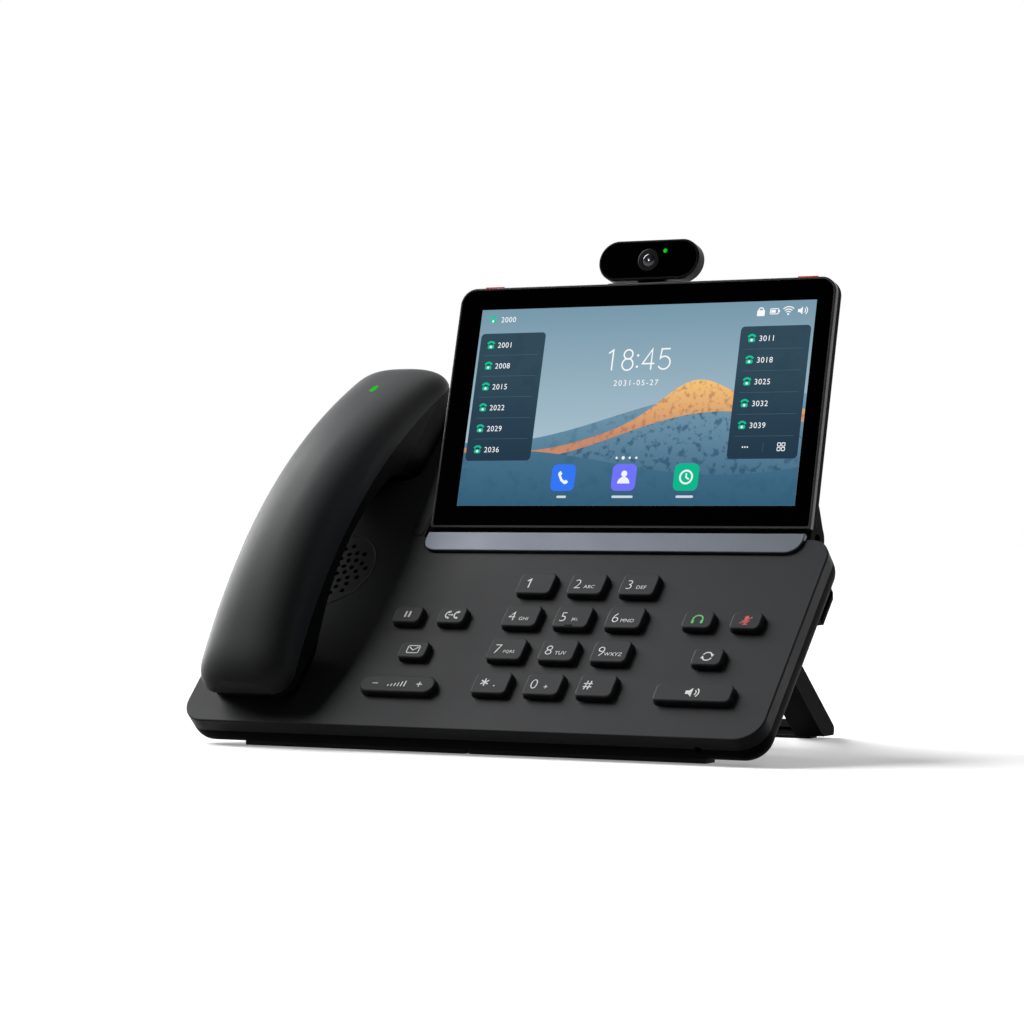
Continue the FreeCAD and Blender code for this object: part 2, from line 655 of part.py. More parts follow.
bottom_whole = joined("bottom_whole", [bottom, tongue, bay, hump])
bottom_hollow = cut("bottom_hollow", bottom_whole, grouped("bottom_hollows", [cavity, bowl_room]))
bottom_bossed = joined("bottom_bossed", [bottom_hollow, bottom_bosses])
bottom_cuts = grouped("bottom_cuts", [head_room, shank_room, side_recess, usb_room] + jack_rooms)
keep(cut("base_bottom_cover_cut", bottom_bossed, bottom_cuts), "base_bottom_cover")

usb = new_body("usb_socket_body", "slab")
usb_outline = polygon(usb, centred(USB_CENTRE_Y, USB_CENTRE_Z, "14.3", "7.2"), plane="YZ_Plane",
                      level="hump_right - 21")
pad(usb, usb_outline, "13")
usb_mouth = polygon(usb, centred(USB_CENTRE_Y, USB_CENTRE_Z, "12.6", "5.2"), plane="YZ_Plane",
                    level="hump_right - 8")
pocket(usb, usb_mouth, "11")
keep(usb, "usb_socket")

screws = new_body("case_screw_group", "slab")
pad(screws, circles(screws, SCREWS, "screw_head_radius", "-base_thickness + 0.1"), "screw_head_height - 0.1")
pad(screws, circles(screws, SCREWS, "screw_radius - 0.05", "-base_thickness + screw_head_height"), "12.5")
keep(screws, "case_screws")

# Pieces on and under the keypad face

strip = new_body("hinge_strip", "slab")
strip_outline = rectangle("panel_x - strip_width / 2", "panel_x + strip_width / 2", "strip_front",
                          "strip_front + strip_depth")
last = pad(strip, polygon(strip, strip_outline, level="-strip_seat"), "strip_seat + strip_height")
last = round_off(strip, last, "strip_corner", near(*strip_outline[:2]))
round_off(strip, last, "strip_edge", level_edges(value("strip_height")))
keep(strip, "hinge_strip")
keep(plate("column_trim", "slab",
           rectangle("trim_left", "trim_right", "trim_front", "trim_back"),
           "-trim_seat", "trim_seat + trim_height", corner="trim_corner"), "column_trim")

GRILLE_SPOT = [("grille_x", "grille_y")]
grille = disc("speaker_grille", "slab", GRILLE_SPOT, "grille_radius", "-cover_wall", "cover_wall")
# The holes follow a sunflower spiral: closer in the middle, wider apart toward the edge
GRILLE_HOLES = 58
SPIRAL_TURN = math.radians(137.508)
SPIRAL_GROWTH = 0.58
SPIRAL_REACH = value("grille_radius - grille_margin")
holes = []
for step in range(GRILLE_HOLES):
    out = SPIRAL_REACH * ((step + 0.5) / (GRILLE_HOLES - 0.5)) ** SPIRAL_GROWTH
    across, up = out * math.cos(step * SPIRAL_TURN), out * math.sin(step * SPIRAL_TURN)
    holes.append((f"grille_x + {across:.3f}", f"grille_y + {up:.3f}"))
pocket(grille, circles(grille, holes, "grille_hole", "0"), "cover_wall + 1")
keep(grille, "speaker_grille")

keep(disc("loudspeaker", "slab", GRILLE_SPOT, "grille_radius - 2", "-13", "10.5"), "loudspeaker")
keep(disc("charging_pins", "slab", charge_spots, "charge_radius - 0.05", "-cover_wall - 1.5",
          "cover_wall + 1.7"), "charging_pins")

BOARD_LEFT = "panel_x - group_offset - 20"
BOARD_RIGHT = "panel_x + group_offset + 15"
board_area = rectangle(BOARD_LEFT, BOARD_RIGHT, "12.5", "86")
SHEET_BOTTOM = "sheet_top - sheet_thickness"
keep(plate("keypad_dome_sheet", "slab", board_area, SHEET_BOTTOM, "sheet_thickness", corner="2"),
     "keypad_dome_sheet")
keep(plate("keypad_board", "slab", board_area, SHEET_BOTTOM + " - board_thickness", "board_thickness",
           corner="2"), "keypad_board")
keep(plate("main_board", "slab", rectangle(BOARD_LEFT, BOARD_RIGHT, "12.5", "66"),
           "main_board_top - board_thickness", "board_thickness", corner="2"), "main_board")

# Display

LOW_X = "panel_x - display_width / 2"
HIGH_X = "panel_x + display_width / 2"


def framed(inset):
    """The display's outline moved inwards."""
    return rectangle(f"{LOW_X} + ({inset})", f"{HIGH_X} - ({inset})", inset, f"display_height - ({inset})")


def display_plate(name, inset, level, thickness, edge=None):
    """A plate of the display's outline, moved inwards: round above, nearly square at the hinge."""
    outline = framed(inset)
    body = new_body(name, "display")
    last = pad(body, polygon(body, outline, level=level), thickness)
    last = round_off(body, last, f"display_corner - ({inset})", near(*outline[2:]))
    last = round_off(body, last, "display_heel", near(*outline[:2]))
    if edge:
        round_off(body, last, edge, level_edges(value(level) + value(thickness)))
    return body


light_rooms = []
lights = []
for side in ("left", "right"):
    middle = f"light_{side}"
    bar_outline = centred(middle, "display_height + (light_proud - light_seat) / 2", "light_length",
                          "light_proud + light_seat")
    room_outline = rectangle(f"{middle} - light_length / 2 - 0.05", f"{middle} + light_length / 2 + 0.05",
                             "display_height - light_seat - 0.05", "display_height + 5")
    lights.append(plate(f"indicator_{side}", "display", bar_outline, "light_back", "light_depth", edge="0.3"))
    light_rooms.append(plate(f"indicator_room_{side}", "display", room_outline, "light_back - 0.05",
                             "light_depth + 0.1"))
keep(grouped("indicator_group", lights), "indicator_lights")

bezel = display_plate("display_bezel_body", "0", "-bezel_depth", "bezel_depth", edge="0.5")
opening = display_plate("glass_opening", "bezel_rim", "-glass_thickness - 0.05", "5")
ledge = plate("ledge_opening", "display", framed("bezel_ledge"), "-bezel_depth - 1", "5", corner="2")
bezel_openings = grouped("bezel_openings", [opening, ledge] + light_rooms)
keep(cut("display_bezel_cut", bezel, bezel_openings), "display_bezel")
keep(display_plate("display_glass", "bezel_rim + fit_gap", "-glass_thickness - 0.05", "glass_thickness",
                   edge="0.25"), "display_glass")
PANEL_MIDDLE = ("panel_x", "display_height / 2")
keep(plate("lcd_panel", "display", centred(*PANEL_MIDDLE, "lcd_width", "lcd_height"),
           "-glass_thickness - 0.05 - lcd_thickness", "lcd_thickness"), "lcd_panel")
keep(plate("display_board", "display", centred(*PANEL_MIDDLE, "120", "60"), "-display_depth + rear_wall",
           "1.2", corner="2"), "display_board")

rear = new_body("display_rear_body", "display")
last = pad(rear, polygon(rear, framed("0"), level="-display_depth"), "display_depth - bezel_depth")
last = round_off(rear, last, "display_corner", near(*framed("0")[2:]))
last = round_off(rear, last, "rear_round + 0.6", near(*framed("0")[:2]))
round_off(rear, last, "rear_round", level_edges(-value("display_depth")))
rear_cavity = plate("display_cavity", "display", framed("bezel_ledge"), "-display_depth + rear_wall",
                    "display_depth", corner="2")
hinge_point = SLAB.multVec(FreeCAD.Vector(0, value("hinge_y"), value("hinge_z")))
HINGE = DISPLAY.inverse().multVec(hinge_point)
BARREL_START = "panel_x - barrel_length / 2"
barrel = rod("hinge_barrel", BARREL_START, hinge_point, "barrel_radius", "barrel_length")
chin = new_body("display_chin", "display")
REACH = value("barrel_radius")
chin_corners = [("rear_round + 1", "-bezel_depth"), ("11", "-display_depth + rear_wall / 2"),
                (HINGE.y + 0.35 * REACH, HINGE.z - 0.93 * REACH),
                (HINGE.y - 0.55 * REACH, HINGE.z + 0.83 * REACH), ("0", "-bezel_depth")]
chin_sketch = polygon(chin, chin_corners, plane="YZ_Plane", level=BARREL_START)
pad(chin, chin_sketch, "barrel_length")
LUGS = ["panel_x - lug_offset", "panel_x + lug_offset"]
slots = [rod(f"lug_slot_{i}", f"{x} - lug_width / 2 - slot_clearance", hinge_point,
             "barrel_radius + slot_clearance", "lug_width + 2 * slot_clearance") for i, x in enumerate(LUGS)]
hinge_bore = rod("hinge_bore", BARREL_START + " - 1", hinge_point, "pin_radius + running_gap",
                 "barrel_length + 2")
bezel_room = plate("bezel_room", "display", rectangle(LOW_X + " - 1", HIGH_X + " + 1", "-fit_gap", "20"),
                   "-bezel_depth", "bezel_depth + 5")
rear_whole = joined("display_rear_whole", [rear, barrel, chin])
rear_cuts = grouped("display_rear_cuts", [rear_cavity, hinge_bore, bezel_room] + slots + light_rooms)
keep(cut("display_rear_cut", rear_whole, rear_cuts), "display_rear_cover")

brackets = []
for i, x in enumerate(LUGS):
    lug = rod(f"lug_{i}", f"{x} - lug_width / 2", hinge_point, "lug_radius", "lug_width")
    arm = plate(f"lug_arm_{i}", "slab",
                rectangle(f"{x} - lug_width / 2", f"{x} + lug_width / 2", "front_depth", "hinge_y"),
                "hinge_z - 0.4", "5.6")
    bore = rod(f"lug_bore_{i}", f"{x} - lug_width", hinge_point, "pin_radius", "lug_width * 2")
    brackets.append(cut(f"hinge_bracket_{i}", joined(f"lug_whole_{i}", [lug, arm]), bore))
keep(grouped("hinge_bracket_group", brackets), "hinge_brackets")
pins = [rod(f"hinge_pin_{i}", f"{x} - pin_length / 2", hinge_point, "pin_radius", "pin_length")
        for i, x in enumerate(LUGS)]
keep(grouped("hinge_pin_group", pins), "hinge_pins")

# Camera

pivot_point = DISPLAY.multVec(FreeCAD.Vector(0, value("camera_pivot_y"), value("camera_pivot_z")))
CAMERA_ROUND = "camera_height / 2 - 0.05"


def pill(name, inset, level, thickness, edge=None):
    outline = centred("camera_x", "camera_y", f"camera_width - 2 * ({inset})",
                      f"camera_height - 2 * ({inset})")
    return plate(name, "display", outline, level, thickness, corner=f"{CAMERA_ROUND} - ({inset})", edge=edge)


CAMERA_BACK = "camera_front - camera_depth"
CAMERA_TOP = "camera_y + camera_height / 2"
SHELL_BACK = "camera_front - camera_shell_depth"
housing = pill("camera_shell_body", "0", SHELL_BACK, "camera_shell_depth", edge="0.7")
back = plate("camera_back_body", "display",
             rectangle("camera_x - camera_back_width / 2", "camera_x + camera_back_width / 2",
                       "camera_y - camera_height / 2 + 0.2", CAMERA_TOP + " - 1.6"),
             CAMERA_BACK, "camera_depth - 3", corner="6")
round_off(back, back.Tip, "2", level_edges(value(CAMERA_BACK)))
window_room = pill("camera_window_room", "camera_rim", "camera_front - camera_window - 0.1", "5")
camera_cavity = plate("camera_cavity", "display",
                      rectangle("camera_x - 16", "camera_x + 16", "camera_pivot_y + stem_radius + 2.4",
                                CAMERA_TOP + " - 3.6"),
                      CAMERA_BACK + " + 1.8", "camera_depth", corner="2")
lens_room = disc("lens_room", "display", [("camera_x", "camera_y")], "lens_radius + 0.15",
                 "camera_front - lens_length - 0.6", "10")
stem_room = plate("stem_room", "display",
                  rectangle("camera_x - stem_width / 2 - 0.4", "camera_x + stem_width / 2 + 0.4",
                            "display_height", "camera_pivot_y + stem_radius + 0.6"),
                  "camera_pivot_z - 6", "6 + stem_radius + 0.7")
PIN_START = "camera_x - stem_width"
PIN_LENGTH = "stem_width * 2"
pivot_bore = rod("camera_bore", PIN_START, pivot_point, "pivot_radius", PIN_LENGTH)
camera_cuts = grouped("camera_cuts", [window_room, camera_cavity, lens_room, stem_room, pivot_bore])
camera_whole = joined("camera_whole", [housing, back])
keep(cut("camera_housing_cut", camera_whole, camera_cuts), "camera_housing")
keep(rod("camera_pivot_pin", PIN_START, pivot_point, "pivot_radius", PIN_LENGTH), "camera_pivot_pin")
window = pill("camera_window_body", "camera_rim + fit_gap", "camera_front - camera_window - 0.05",
              "camera_window")
LIGHT_SPOT = [("camera_x + 7.3", "camera_y + 3.7")]
window_holes = grouped("window_holes", [
    disc("lens_hole", "display", [("camera_x", "camera_y")], "lens_radius + 0.1", "camera_front - 5", "10"),
    disc("light_hole", "display", LIGHT_SPOT, "0.95", "camera_front - 5", "10")])
keep(cut("camera_window_cut", window, window_holes), "camera_window")
lens = disc("camera_lens", "display", [("camera_x", "camera_y")], "lens_radius",
            "camera_front - lens_length - 0.4", "lens_length")
round_off(lens, lens.Tip, "1.6", level_edges(value("camera_front - 0.4")))
keep(lens, "camera_lens")
keep(disc("camera_light", "display", LIGHT_SPOT, "0.9", "camera_front - 1.6", "1.5"), "camera_light")
keep(plate("camera_board", "display",
           rectangle("camera_x - 14", "camera_x + 14", "camera_y - 1.2", "camera_y + 4.4"),
           "camera_front - camera_depth + 2.2", "1.2", corner="1"), "camera_board")
foot_base = plate("camera_foot_base", "display",
                  rectangle("camera_x - foot_width / 2", "camera_x + foot_width / 2", "display_height",
                            "display_height + 0.9"), "-6.4", "4.4", edge="0.3")
stem_foot = plate("camera_stem_foot", "display",
                  rectangle("camera_x - stem_width / 2", "camera_x + stem_width / 2", "display_height",
                            "display_height + 0.9"), "camera_pivot_z - stem_radius", "8")
stem = plate("camera_stem", "display",
             rectangle("camera_x - stem_width / 2", "camera_x + stem_width / 2", "display_height",
                       "camera_pivot_y"),
             "camera_pivot_z - stem_radius", "stem_radius * 2")
stem_end = rod("camera_stem_end", "camera_x - stem_width / 2", pivot_point, "stem_radius", "stem_width")
stem_bore = rod("stem_bore", PIN_START, pivot_point, "pivot_radius + running_gap", PIN_LENGTH)
foot_whole = joined("camera_foot_whole", [foot_base, stem_foot, stem, stem_end])
keep(cut("camera_foot_cut", foot_whole, stem_bore), "camera_foot")

# Handset: an outer shell lofted through crowned sections, an inner shell cut from its side view

FRONT = value("handset_front")
END = value("handset_end")
MIDDLE_X = value("handset_x")
CREST = [(20.0, 22.7), (75.0, 35.6), (130.0, 32.8), (185.0, 16.0)]
SEAM = [(FRONT, 6.5), (100.0, 19.0), (END, -1.6)]
CROWN_POWER = 2.6
CROWN_STEPS = 16


def through(points):
    """The smooth curve through points of the side view: up the slope, above the face."""
    def height(y):
        total = 0.0
        for place, level in points:
            others = [other for other, _ in points if other != place]
            total += level * math.prod((y - other) / (place - other) for other in others)
        return total
    return height


crest = through(CREST)
parting = through(SEAM)


def half_width(y):
    middle = (FRONT + END) / 2
    share = ((y - middle) / (END - middle)) ** 2
    return (value("handset_waist") + (value("handset_end_width") - value("handset_waist")) * share) / 2


def rounded_end(y, mouth_run, ear_run, inset):
    """A factor that falls off as a superellipse towards either end of the handset."""
    for distance, run in ((y - FRONT - inset, mouth_run), (END - inset - y, ear_run)):
        if distance < run:
            return (1 - min(1.0, 1 - distance / run) ** 2.6) ** (1 / 2.6)
    return 1.0


def plan_half(y, inset):
    """Half the handset's width from above, drawn in at its rounded ends."""
    return (half_width(y) - inset) * (0.42 + 0.58 * rounded_end(y, 11.0, 17.0, inset))


def section(y, inset):
    """One cross-section of the outer shell: flat below, with a crown that meets the sides square."""
    width = plan_half(y, inset)
    low = parting(y) - inset * 0.6
    rise = (crest(y) - inset - low) * (0.30 + 0.70 * rounded_end(y, 13.0, 13.0, inset))
    points = []
    for step in range(CROWN_STEPS + 1):
        turn = math.pi * step / CROWN_STEPS
        across = math.copysign(abs(math.cos(turn)) ** (2 / CROWN_POWER), math.cos(turn))
        up = abs(math.sin(turn)) ** (2 / CROWN_POWER)
        points.append(FreeCAD.Vector(MIDDLE_X + width * across, y, low + rise * up))
    crown = Part.BSplineCurve()
    crown.interpolate(points)
    return Part.Wire([crown.toShape(), Part.makeLine(points[-1], points[0])])


END_STEPS = [0.4, 2.0, 4.5, 8.0, 12.5, 18.0]
GRIP_STEPS = 9


def lofted(inset):
    """The outer shell's form, with sections close together at the rounded ends."""
    low, high = FRONT + inset, END - inset
    start, run = low + END_STEPS[-1], high - low - 2 * END_STEPS[-1]
    places = [low + step for step in END_STEPS]
    places += [start + run * step / GRIP_STEPS for step in range(1, GRIP_STEPS)]
    places += [high - step for step in reversed(END_STEPS)]
    return Part.makeLoft([section(y, inset) for y in places], True, False)


def side_view(points, half):
    """A solid from a side-view outline of lines and three-point arcs, across the handset."""
    def at(point):
        return FreeCAD.Vector(MIDDLE_X - half, *point)
    edges = []
    for start, stop in zip(points, points[1:]):
        here, there = at(start[-1]), at(stop[-1])
        if len(stop) == 2:
            edges.append(Part.Arc(here, at(stop[0]), there).toShape())
        else:
            edges.append(Part.makeLine(here, there))
    return Part.Face(Part.Wire(edges)).extrude(FreeCAD.Vector(2 * half, 0, 0))


GRIP = value("grip_clearance")
REST = value("mouth_rest")
CUP = -value("cradle_depth") + 0.5
MOUTH = value("mouth_inset")
EAR = value("ear_inset")
WALL = value("shell_wall")


def underside(up, back):
    """Side view of the inner shell; up and back move it inwards for the hollow."""
    seam_front = (FRONT + MOUTH + back, parting(FRONT + MOUTH + back) + up * 0.5)
    seam_end = (END - EAR - back, parting(END - EAR - back) + up * 0.5)
    seam_middle = (100.0, parting(100.0) + up * 0.5)
    return [(seam_front,), ((FRONT + 2.4 + back, REST + 2 + up),), ((FRONT + 4.4 + back, REST + up),),
            ((36.0 - back, REST + up),), ((44.0 - back, 3.6 + up), (58.0, 8.4 + up)),
            ((96.0, GRIP + up), (126.0, 9.4 + up)), ((136.0 + back, 4.6 + up), (140.5 + back, -2.0)),
            ((141.5 + back, CUP + up),), ((188.0 - back, CUP + up),),
            ((196.4 - back, -5.8 + up), seam_end), (seam_middle, seam_front)]


PLAN_STEPS = 40


def plan_limit(wall):
    """The outline from above, as an upright block that trims the inner shell: inside the outer shell at
    the mouth, flush with it at the ear."""
    low, high = FRONT + MOUTH + wall, END - EAR - wall
    sides = []
    for side in (-1, 1):
        points = []
        for step in range(PLAN_STEPS + 1):
            share = (1 - math.cos(math.pi * step / PLAN_STEPS)) / 2
            inset = wall + MOUTH + (EAR - MOUTH) * share
            y = low + (high - low) * share
            points.append(FreeCAD.Vector(MIDDLE_X + side * plan_half(y, inset), y, -40))
        curve = Part.BSplineCurve()
        curve.interpolate(points)
        sides.append((curve.toShape(), points))
    (left, left_points), (right, right_points) = sides
    ends = [Part.makeLine(left_points[i], right_points[i]) for i in (0, -1)]
    wire = Part.Wire(Part.sortEdges([left, right] + ends)[0])
    return Part.Face(wire).extrude(FreeCAD.Vector(0, 0, 90))


def slab_cylinder(x, y, low, high, radius):
    return Part.makeCylinder(radius, high - low, FreeCAD.Vector(x, y, low))


LIGHT_Y = value("handset_light_y")
light_half = value("handset_light_width") / 2
light_run = value("handset_light_length") / 2 - light_half
light_top = crest(LIGHT_Y) + 2.0
LIGHT_DEPTH = 7.0
light_low = light_top - LIGHT_DEPTH
light_pill = Part.makeBox(2 * light_half, 2 * light_run, LIGHT_DEPTH,
                          FreeCAD.Vector(MIDDLE_X - light_half, LIGHT_Y - light_run, light_low))
for shift in (-light_run, light_run):
    light_pill = light_pill.fuse(slab_cylinder(MIDDLE_X, LIGHT_Y + shift, light_low, light_top, light_half))
light_pill = light_pill.removeSplitter()
outer_solid = lofted(0.0)
light_shape = light_pill.common(outer_solid)
outer_shape = outer_solid.cut(lofted(WALL)).cut(light_pill)
keep(as_feature("handset_outer", outer_shape, "slab"), "handset_outer_shell")
keep(as_feature("handset_lamp", light_shape, "slab"), "handset_light")

contact_shapes = [slab_cylinder(value(x), value(y), REST - 0.01, REST + WALL, 1.7) for x, y in charge_spots]
inner_shape = side_view(underside(0.0, 0.0), 30.0).common(plan_limit(0.0))
inner_hollow = side_view(underside(WALL, WALL), 30.0).common(plan_limit(WALL))
inner_shape = inner_shape.cut(inner_hollow).cut(outer_solid)
for contact in contact_shapes:
    inner_shape = inner_shape.cut(contact)
keep(as_feature("handset_inner", inner_shape, "slab"), "handset_inner_shell")
keep(as_feature("handset_contact_group", Part.makeCompound(contact_shapes), "slab"), "handset_contacts")

keep(disc("handset_receiver", "slab", [("handset_x", "163")], "15", "-cradle_depth + 0.5 + shell_wall", "6"),
     "handset_receiver")
keep(disc("handset_microphone", "slab", [("handset_x", "18.5")], "2", "mouth_rest + shell_wall + 0.2", "2.2"),
     "handset_microphone")
keep(plate("handset_battery", "slab", centred("handset_x", "94", "30", "40"), "17.2", "5.6", corner="1.5"),
     "handset_battery")
keep(plate("handset_board", "slab", centred("handset_x", "162", "30", "36"), "2.2", "1.2", corner="1.5"),
     "handset_board")

# Stand and feet

leg_turn = FreeCAD.Rotation(FreeCAD.Vector(1, 0, 0), 180 - value("stand_tilt"))
leg = doc.addObject("PartDesign::Body", "stand_leg")
leg.Placement = FreeCAD.Placement(FreeCAD.Vector(0, value("front_y + stand_back"), 0), leg_turn)
bind(leg, "Placement.Base.y", "front_y + stand_back")
bind(leg, "Placement.Rotation.Angle", "180 - stand_tilt")
INNER = "stand_half_width - stand_band_width"
SHOULDER = "stand_length - 28.5"
leg_outline = [("-stand_half_width", "stand_tip"), ("stand_half_width", "stand_tip"),
               ("stand_half_width", "stand_length"),
               ("stand_half_width - 20", "stand_length"), ("stand_half_width - 20", SHOULDER),
               ("20 - stand_half_width", SHOULDER), ("20 - stand_half_width", "stand_length"),
               ("-stand_half_width", "stand_length")]
pad(leg, polygon(leg, leg_outline), "stand_panel")
for sign in ("", "-"):
    band = [(f"{sign}({INNER})", "stand_tip"), (f"{sign}stand_half_width", "stand_tip"),
            (f"{sign}stand_half_width", "stand_length"), (f"{sign}({INNER})", "stand_length")]
    pad(leg, polygon(leg, band), "stand_band")
    window_corners = [(f"{sign}8", "stand_bar"), (f"{sign}({INNER} - 4)", "stand_bar"),
                      (f"{sign}({INNER} - 4)", SHOULDER + " - 9"), (f"{sign}40", SHOULDER + " - 9")]
    pocket(leg, polygon(leg, window_corners, level="-1"), "stand_panel + 3", reverse=True)
bar_corners = rectangle("-stand_half_width", "stand_half_width", "stand_tip", "stand_bar - 1")
last = pad(leg, polygon(leg, bar_corners), "stand_band")
round_off(leg, last, "stand_round", across_edges(value("stand_tip"), 0))
FLANGE_SIDES = [("-stand_half_width", "20 - stand_half_width"), ("stand_half_width - 20", "stand_half_width")]
flanges = [plate(f"stand_flange_{i}", "slab", rectangle(low, high, "68", "94"), "-base_thickness - 3", "3",
                 corner="2") for i, (low, high) in enumerate(FLANGE_SIDES)]
stand_whole = joined("stand_whole", [leg] + flanges)
floor_cut = box("stand_floor", ("-200", "-100", "pad_height - 100"), ("400", "400", "100"))
slab_cut = plate("stand_slab", "slab", rectangle("-200", "200", "-50", "250"), "-base_thickness", "60")
keep(cut("stand_cut", stand_whole, grouped("stand_cuts", [floor_cut, slab_cut])), "stand")

pads = []
for i, sign in enumerate(("-", "")):
    pad_corner = (f"{sign}66 - 18", "front_y + stand_back - 15.8", "0")
    pads.append(box(f"stand_pad_{i}", pad_corner, ("36", "7.2", "pad_height")))
keep(grouped("stand_pad_group", pads), "stand_foot_pads")

ROLL = value("bottom_edge_round")
roll_point = SLAB.multVec(FreeCAD.Vector(0, ROLL, ROLL - value("base_thickness")))
feet = []
for i, sign in enumerate(("-", "")):
    x = f"{sign}foot_spread - foot_length / 2"
    block = box(f"front_foot_block_{i}", (x, f"{roll_point.y} - 2", "0"), ("foot_length", "8", "3.2"))
    roll = rod(f"front_foot_roll_{i}", x + " - 1", roll_point, "bottom_edge_round", "foot_length + 2")
    feet.append(cut(f"front_foot_{i}", block, roll))
keep(grouped("front_foot_group", feet), "front_feet")

# Checks and files

doc.recompute()
for item in doc.Objects:
    if "Invalid" in item.State or "Error" in item.State:
        raise RuntimeError(f"{item.Label} failed: {item.State}")
os.makedirs("parts", exist_ok=True)
for item in sub_parts:
    shape = item.Shape
    if shape.isNull() or not shape.isValid() or not shape.Solids:
        raise RuntimeError(f"{item.Label} has no valid solid")
    shape.exportStep(os.path.join("parts", item.Label + ".step"))
    print(f"{item.Label}: {len(shape.Solids)} solid, {shape.Volume / 1000:.2f} cm3")
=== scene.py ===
import json
import math

import bmesh
import bpy
from mathutils import Matrix, Vector


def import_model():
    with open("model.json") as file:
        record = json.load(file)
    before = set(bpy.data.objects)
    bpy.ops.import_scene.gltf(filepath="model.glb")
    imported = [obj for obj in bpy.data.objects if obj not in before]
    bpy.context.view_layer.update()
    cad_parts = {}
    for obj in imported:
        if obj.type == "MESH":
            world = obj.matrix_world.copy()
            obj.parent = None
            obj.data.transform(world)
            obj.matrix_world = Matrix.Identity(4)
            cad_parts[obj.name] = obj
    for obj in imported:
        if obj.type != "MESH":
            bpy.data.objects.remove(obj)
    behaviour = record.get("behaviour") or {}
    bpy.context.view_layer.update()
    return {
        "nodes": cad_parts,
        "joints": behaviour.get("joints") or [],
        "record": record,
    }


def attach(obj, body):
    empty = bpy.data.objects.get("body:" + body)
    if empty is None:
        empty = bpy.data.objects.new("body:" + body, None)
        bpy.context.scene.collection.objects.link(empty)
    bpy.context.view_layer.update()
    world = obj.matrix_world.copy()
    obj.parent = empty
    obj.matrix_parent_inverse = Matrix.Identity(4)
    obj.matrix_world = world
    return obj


# Looks of a desk phone with a touch display: finishes, printed legends, the lit screen and small trim.
# The frame is in metres, +X to the user's right, +Y away from the user, +Z up. Sizes here are in millimetres.

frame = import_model()
NODES = frame["nodes"]
MM = 0.001
IMAGE_SIZE = 1024

# Tilts of the two working faces: the keypad's is read from the joint that runs square to it, the display's is
# given
JOINTS = {joint["name"]: joint for joint in frame["joints"]}
PRESS = Vector(JOINTS["key_5_press"]["axis"])
FACE_TILT = math.atan2(PRESS.y, -PRESS.z)
DISPLAY_TILT = math.radians(75.0)
KEY_FACE = Matrix.Rotation(FACE_TILT, 4, "X")
GLASS_FACE = Matrix.Rotation(DISPLAY_TILT, 4, "X")
FRONT_FACE = Matrix.Rotation(FACE_TILT + math.pi / 2, 4, "X")


def measured(node, face):
    """Lowest and highest corner of a CAD node in a tilted face's own axes, in millimetres."""
    turned = face.inverted()
    places = [turned @ vertex.co / MM for vertex in NODES[node].data.vertices]
    low = Vector(min(place[axis] for place in places) for axis in range(3))
    high = Vector(max(place[axis] for place in places) for axis in range(3))
    return low, high


# Materials

def linear(hex_colour):
    """An sRGB hex colour as the linear colour that the shaders work in."""
    channels = [int(hex_colour[i:i + 2], 16) / 255 for i in (1, 3, 5)]
    return [c / 12.92 if c <= 0.04045 else ((c + 0.055) / 1.055) ** 2.4 for c in channels] + [1.0]


def add(tree, kind, sockets, **settings):
    """Adds one node: settings are its properties, sockets are values or (node, output) links."""
    node = tree.nodes.new(kind)
    for name, setting in settings.items():
        setattr(node, name, setting)
    for name, source in sockets.items():
        if isinstance(source, tuple) and isinstance(source[0], bpy.types.Node):
            tree.links.new(source[0].outputs[source[1]], node.inputs[name])
        else:
            node.inputs[name].default_value = source
    return node


def shader(name, **sockets):
    """A new material with one principled shader; returns it with its tree and shader."""
    material = bpy.data.materials.new(name)
    material.use_nodes = True
    tree = material.node_tree
    principled = tree.nodes["Principled BSDF"]
    for socket, setting in sockets.items():
        principled.inputs[socket.replace("_", " ")].default_value = setting
    return material, tree, principled


def uneven(tree, size_mm, detail=2.0, stretch=(1, 1, 1)):
    """Unevenness of a real size in the piece's own space; stretch draws it out along an axis."""
    place = add(tree, "ShaderNodeTexCoord", {})
    scaled = add(tree, "ShaderNodeVectorMath", {0: (place, "Object"), 1: [1 / s for s in stretch]},
                 operation="MULTIPLY")
    return add(tree, "ShaderNodeTexNoise", {"Vector": (scaled, "Vector"), "Scale": 1 / (size_mm * MM),
                                            "Detail": detail, "Roughness": 0.55})


def surfaced(name, low, high, roughness, patches_mm, grain_mm, depth_mm, stretch=(1, 1, 1), spread=0.06,
             **sockets):
    """The common build of a finish: two close tones and a gloss that drift in patches, over a fine relief."""
    material, tree, principled = shader(name, **sockets)
    patches = uneven(tree, patches_mm, 3.0)
    colour = add(tree, "ShaderNodeMix", {"Factor": (patches, 0), "A": linear(low), "B": linear(high)},
                 data_type="RGBA")
    tree.links.new(colour.outputs[2], principled.inputs["Base Color"])
    gloss = add(tree, "ShaderNodeMapRange", {"Value": (patches, 0), "From Min": 0.25, "From Max": 0.75,
                                             "To Min": roughness + spread, "To Max": roughness - spread})
    tree.links.new(gloss.outputs["Result"], principled.inputs["Roughness"])
    relief = uneven(tree, grain_mm, 2.0, stretch)
    bump = add(tree, "ShaderNodeBump", {"Height": (relief, 0), "Strength": 0.35, "Distance": depth_mm * MM})
    tree.links.new(bump.outputs["Normal"], principled.inputs["Normal"])
    return material


def moulded(name, low, high, roughness, grain_mm=0.7, depth_mm=0.03, **sockets):
    """Moulded plastic or rubber: an even fine grain from the tool that breaks up the highlight, with slow
    patches where handling has polished it."""
    return surfaced(name, low, high, roughness, 40, grain_mm, depth_mm, IOR=1.5, **sockets)


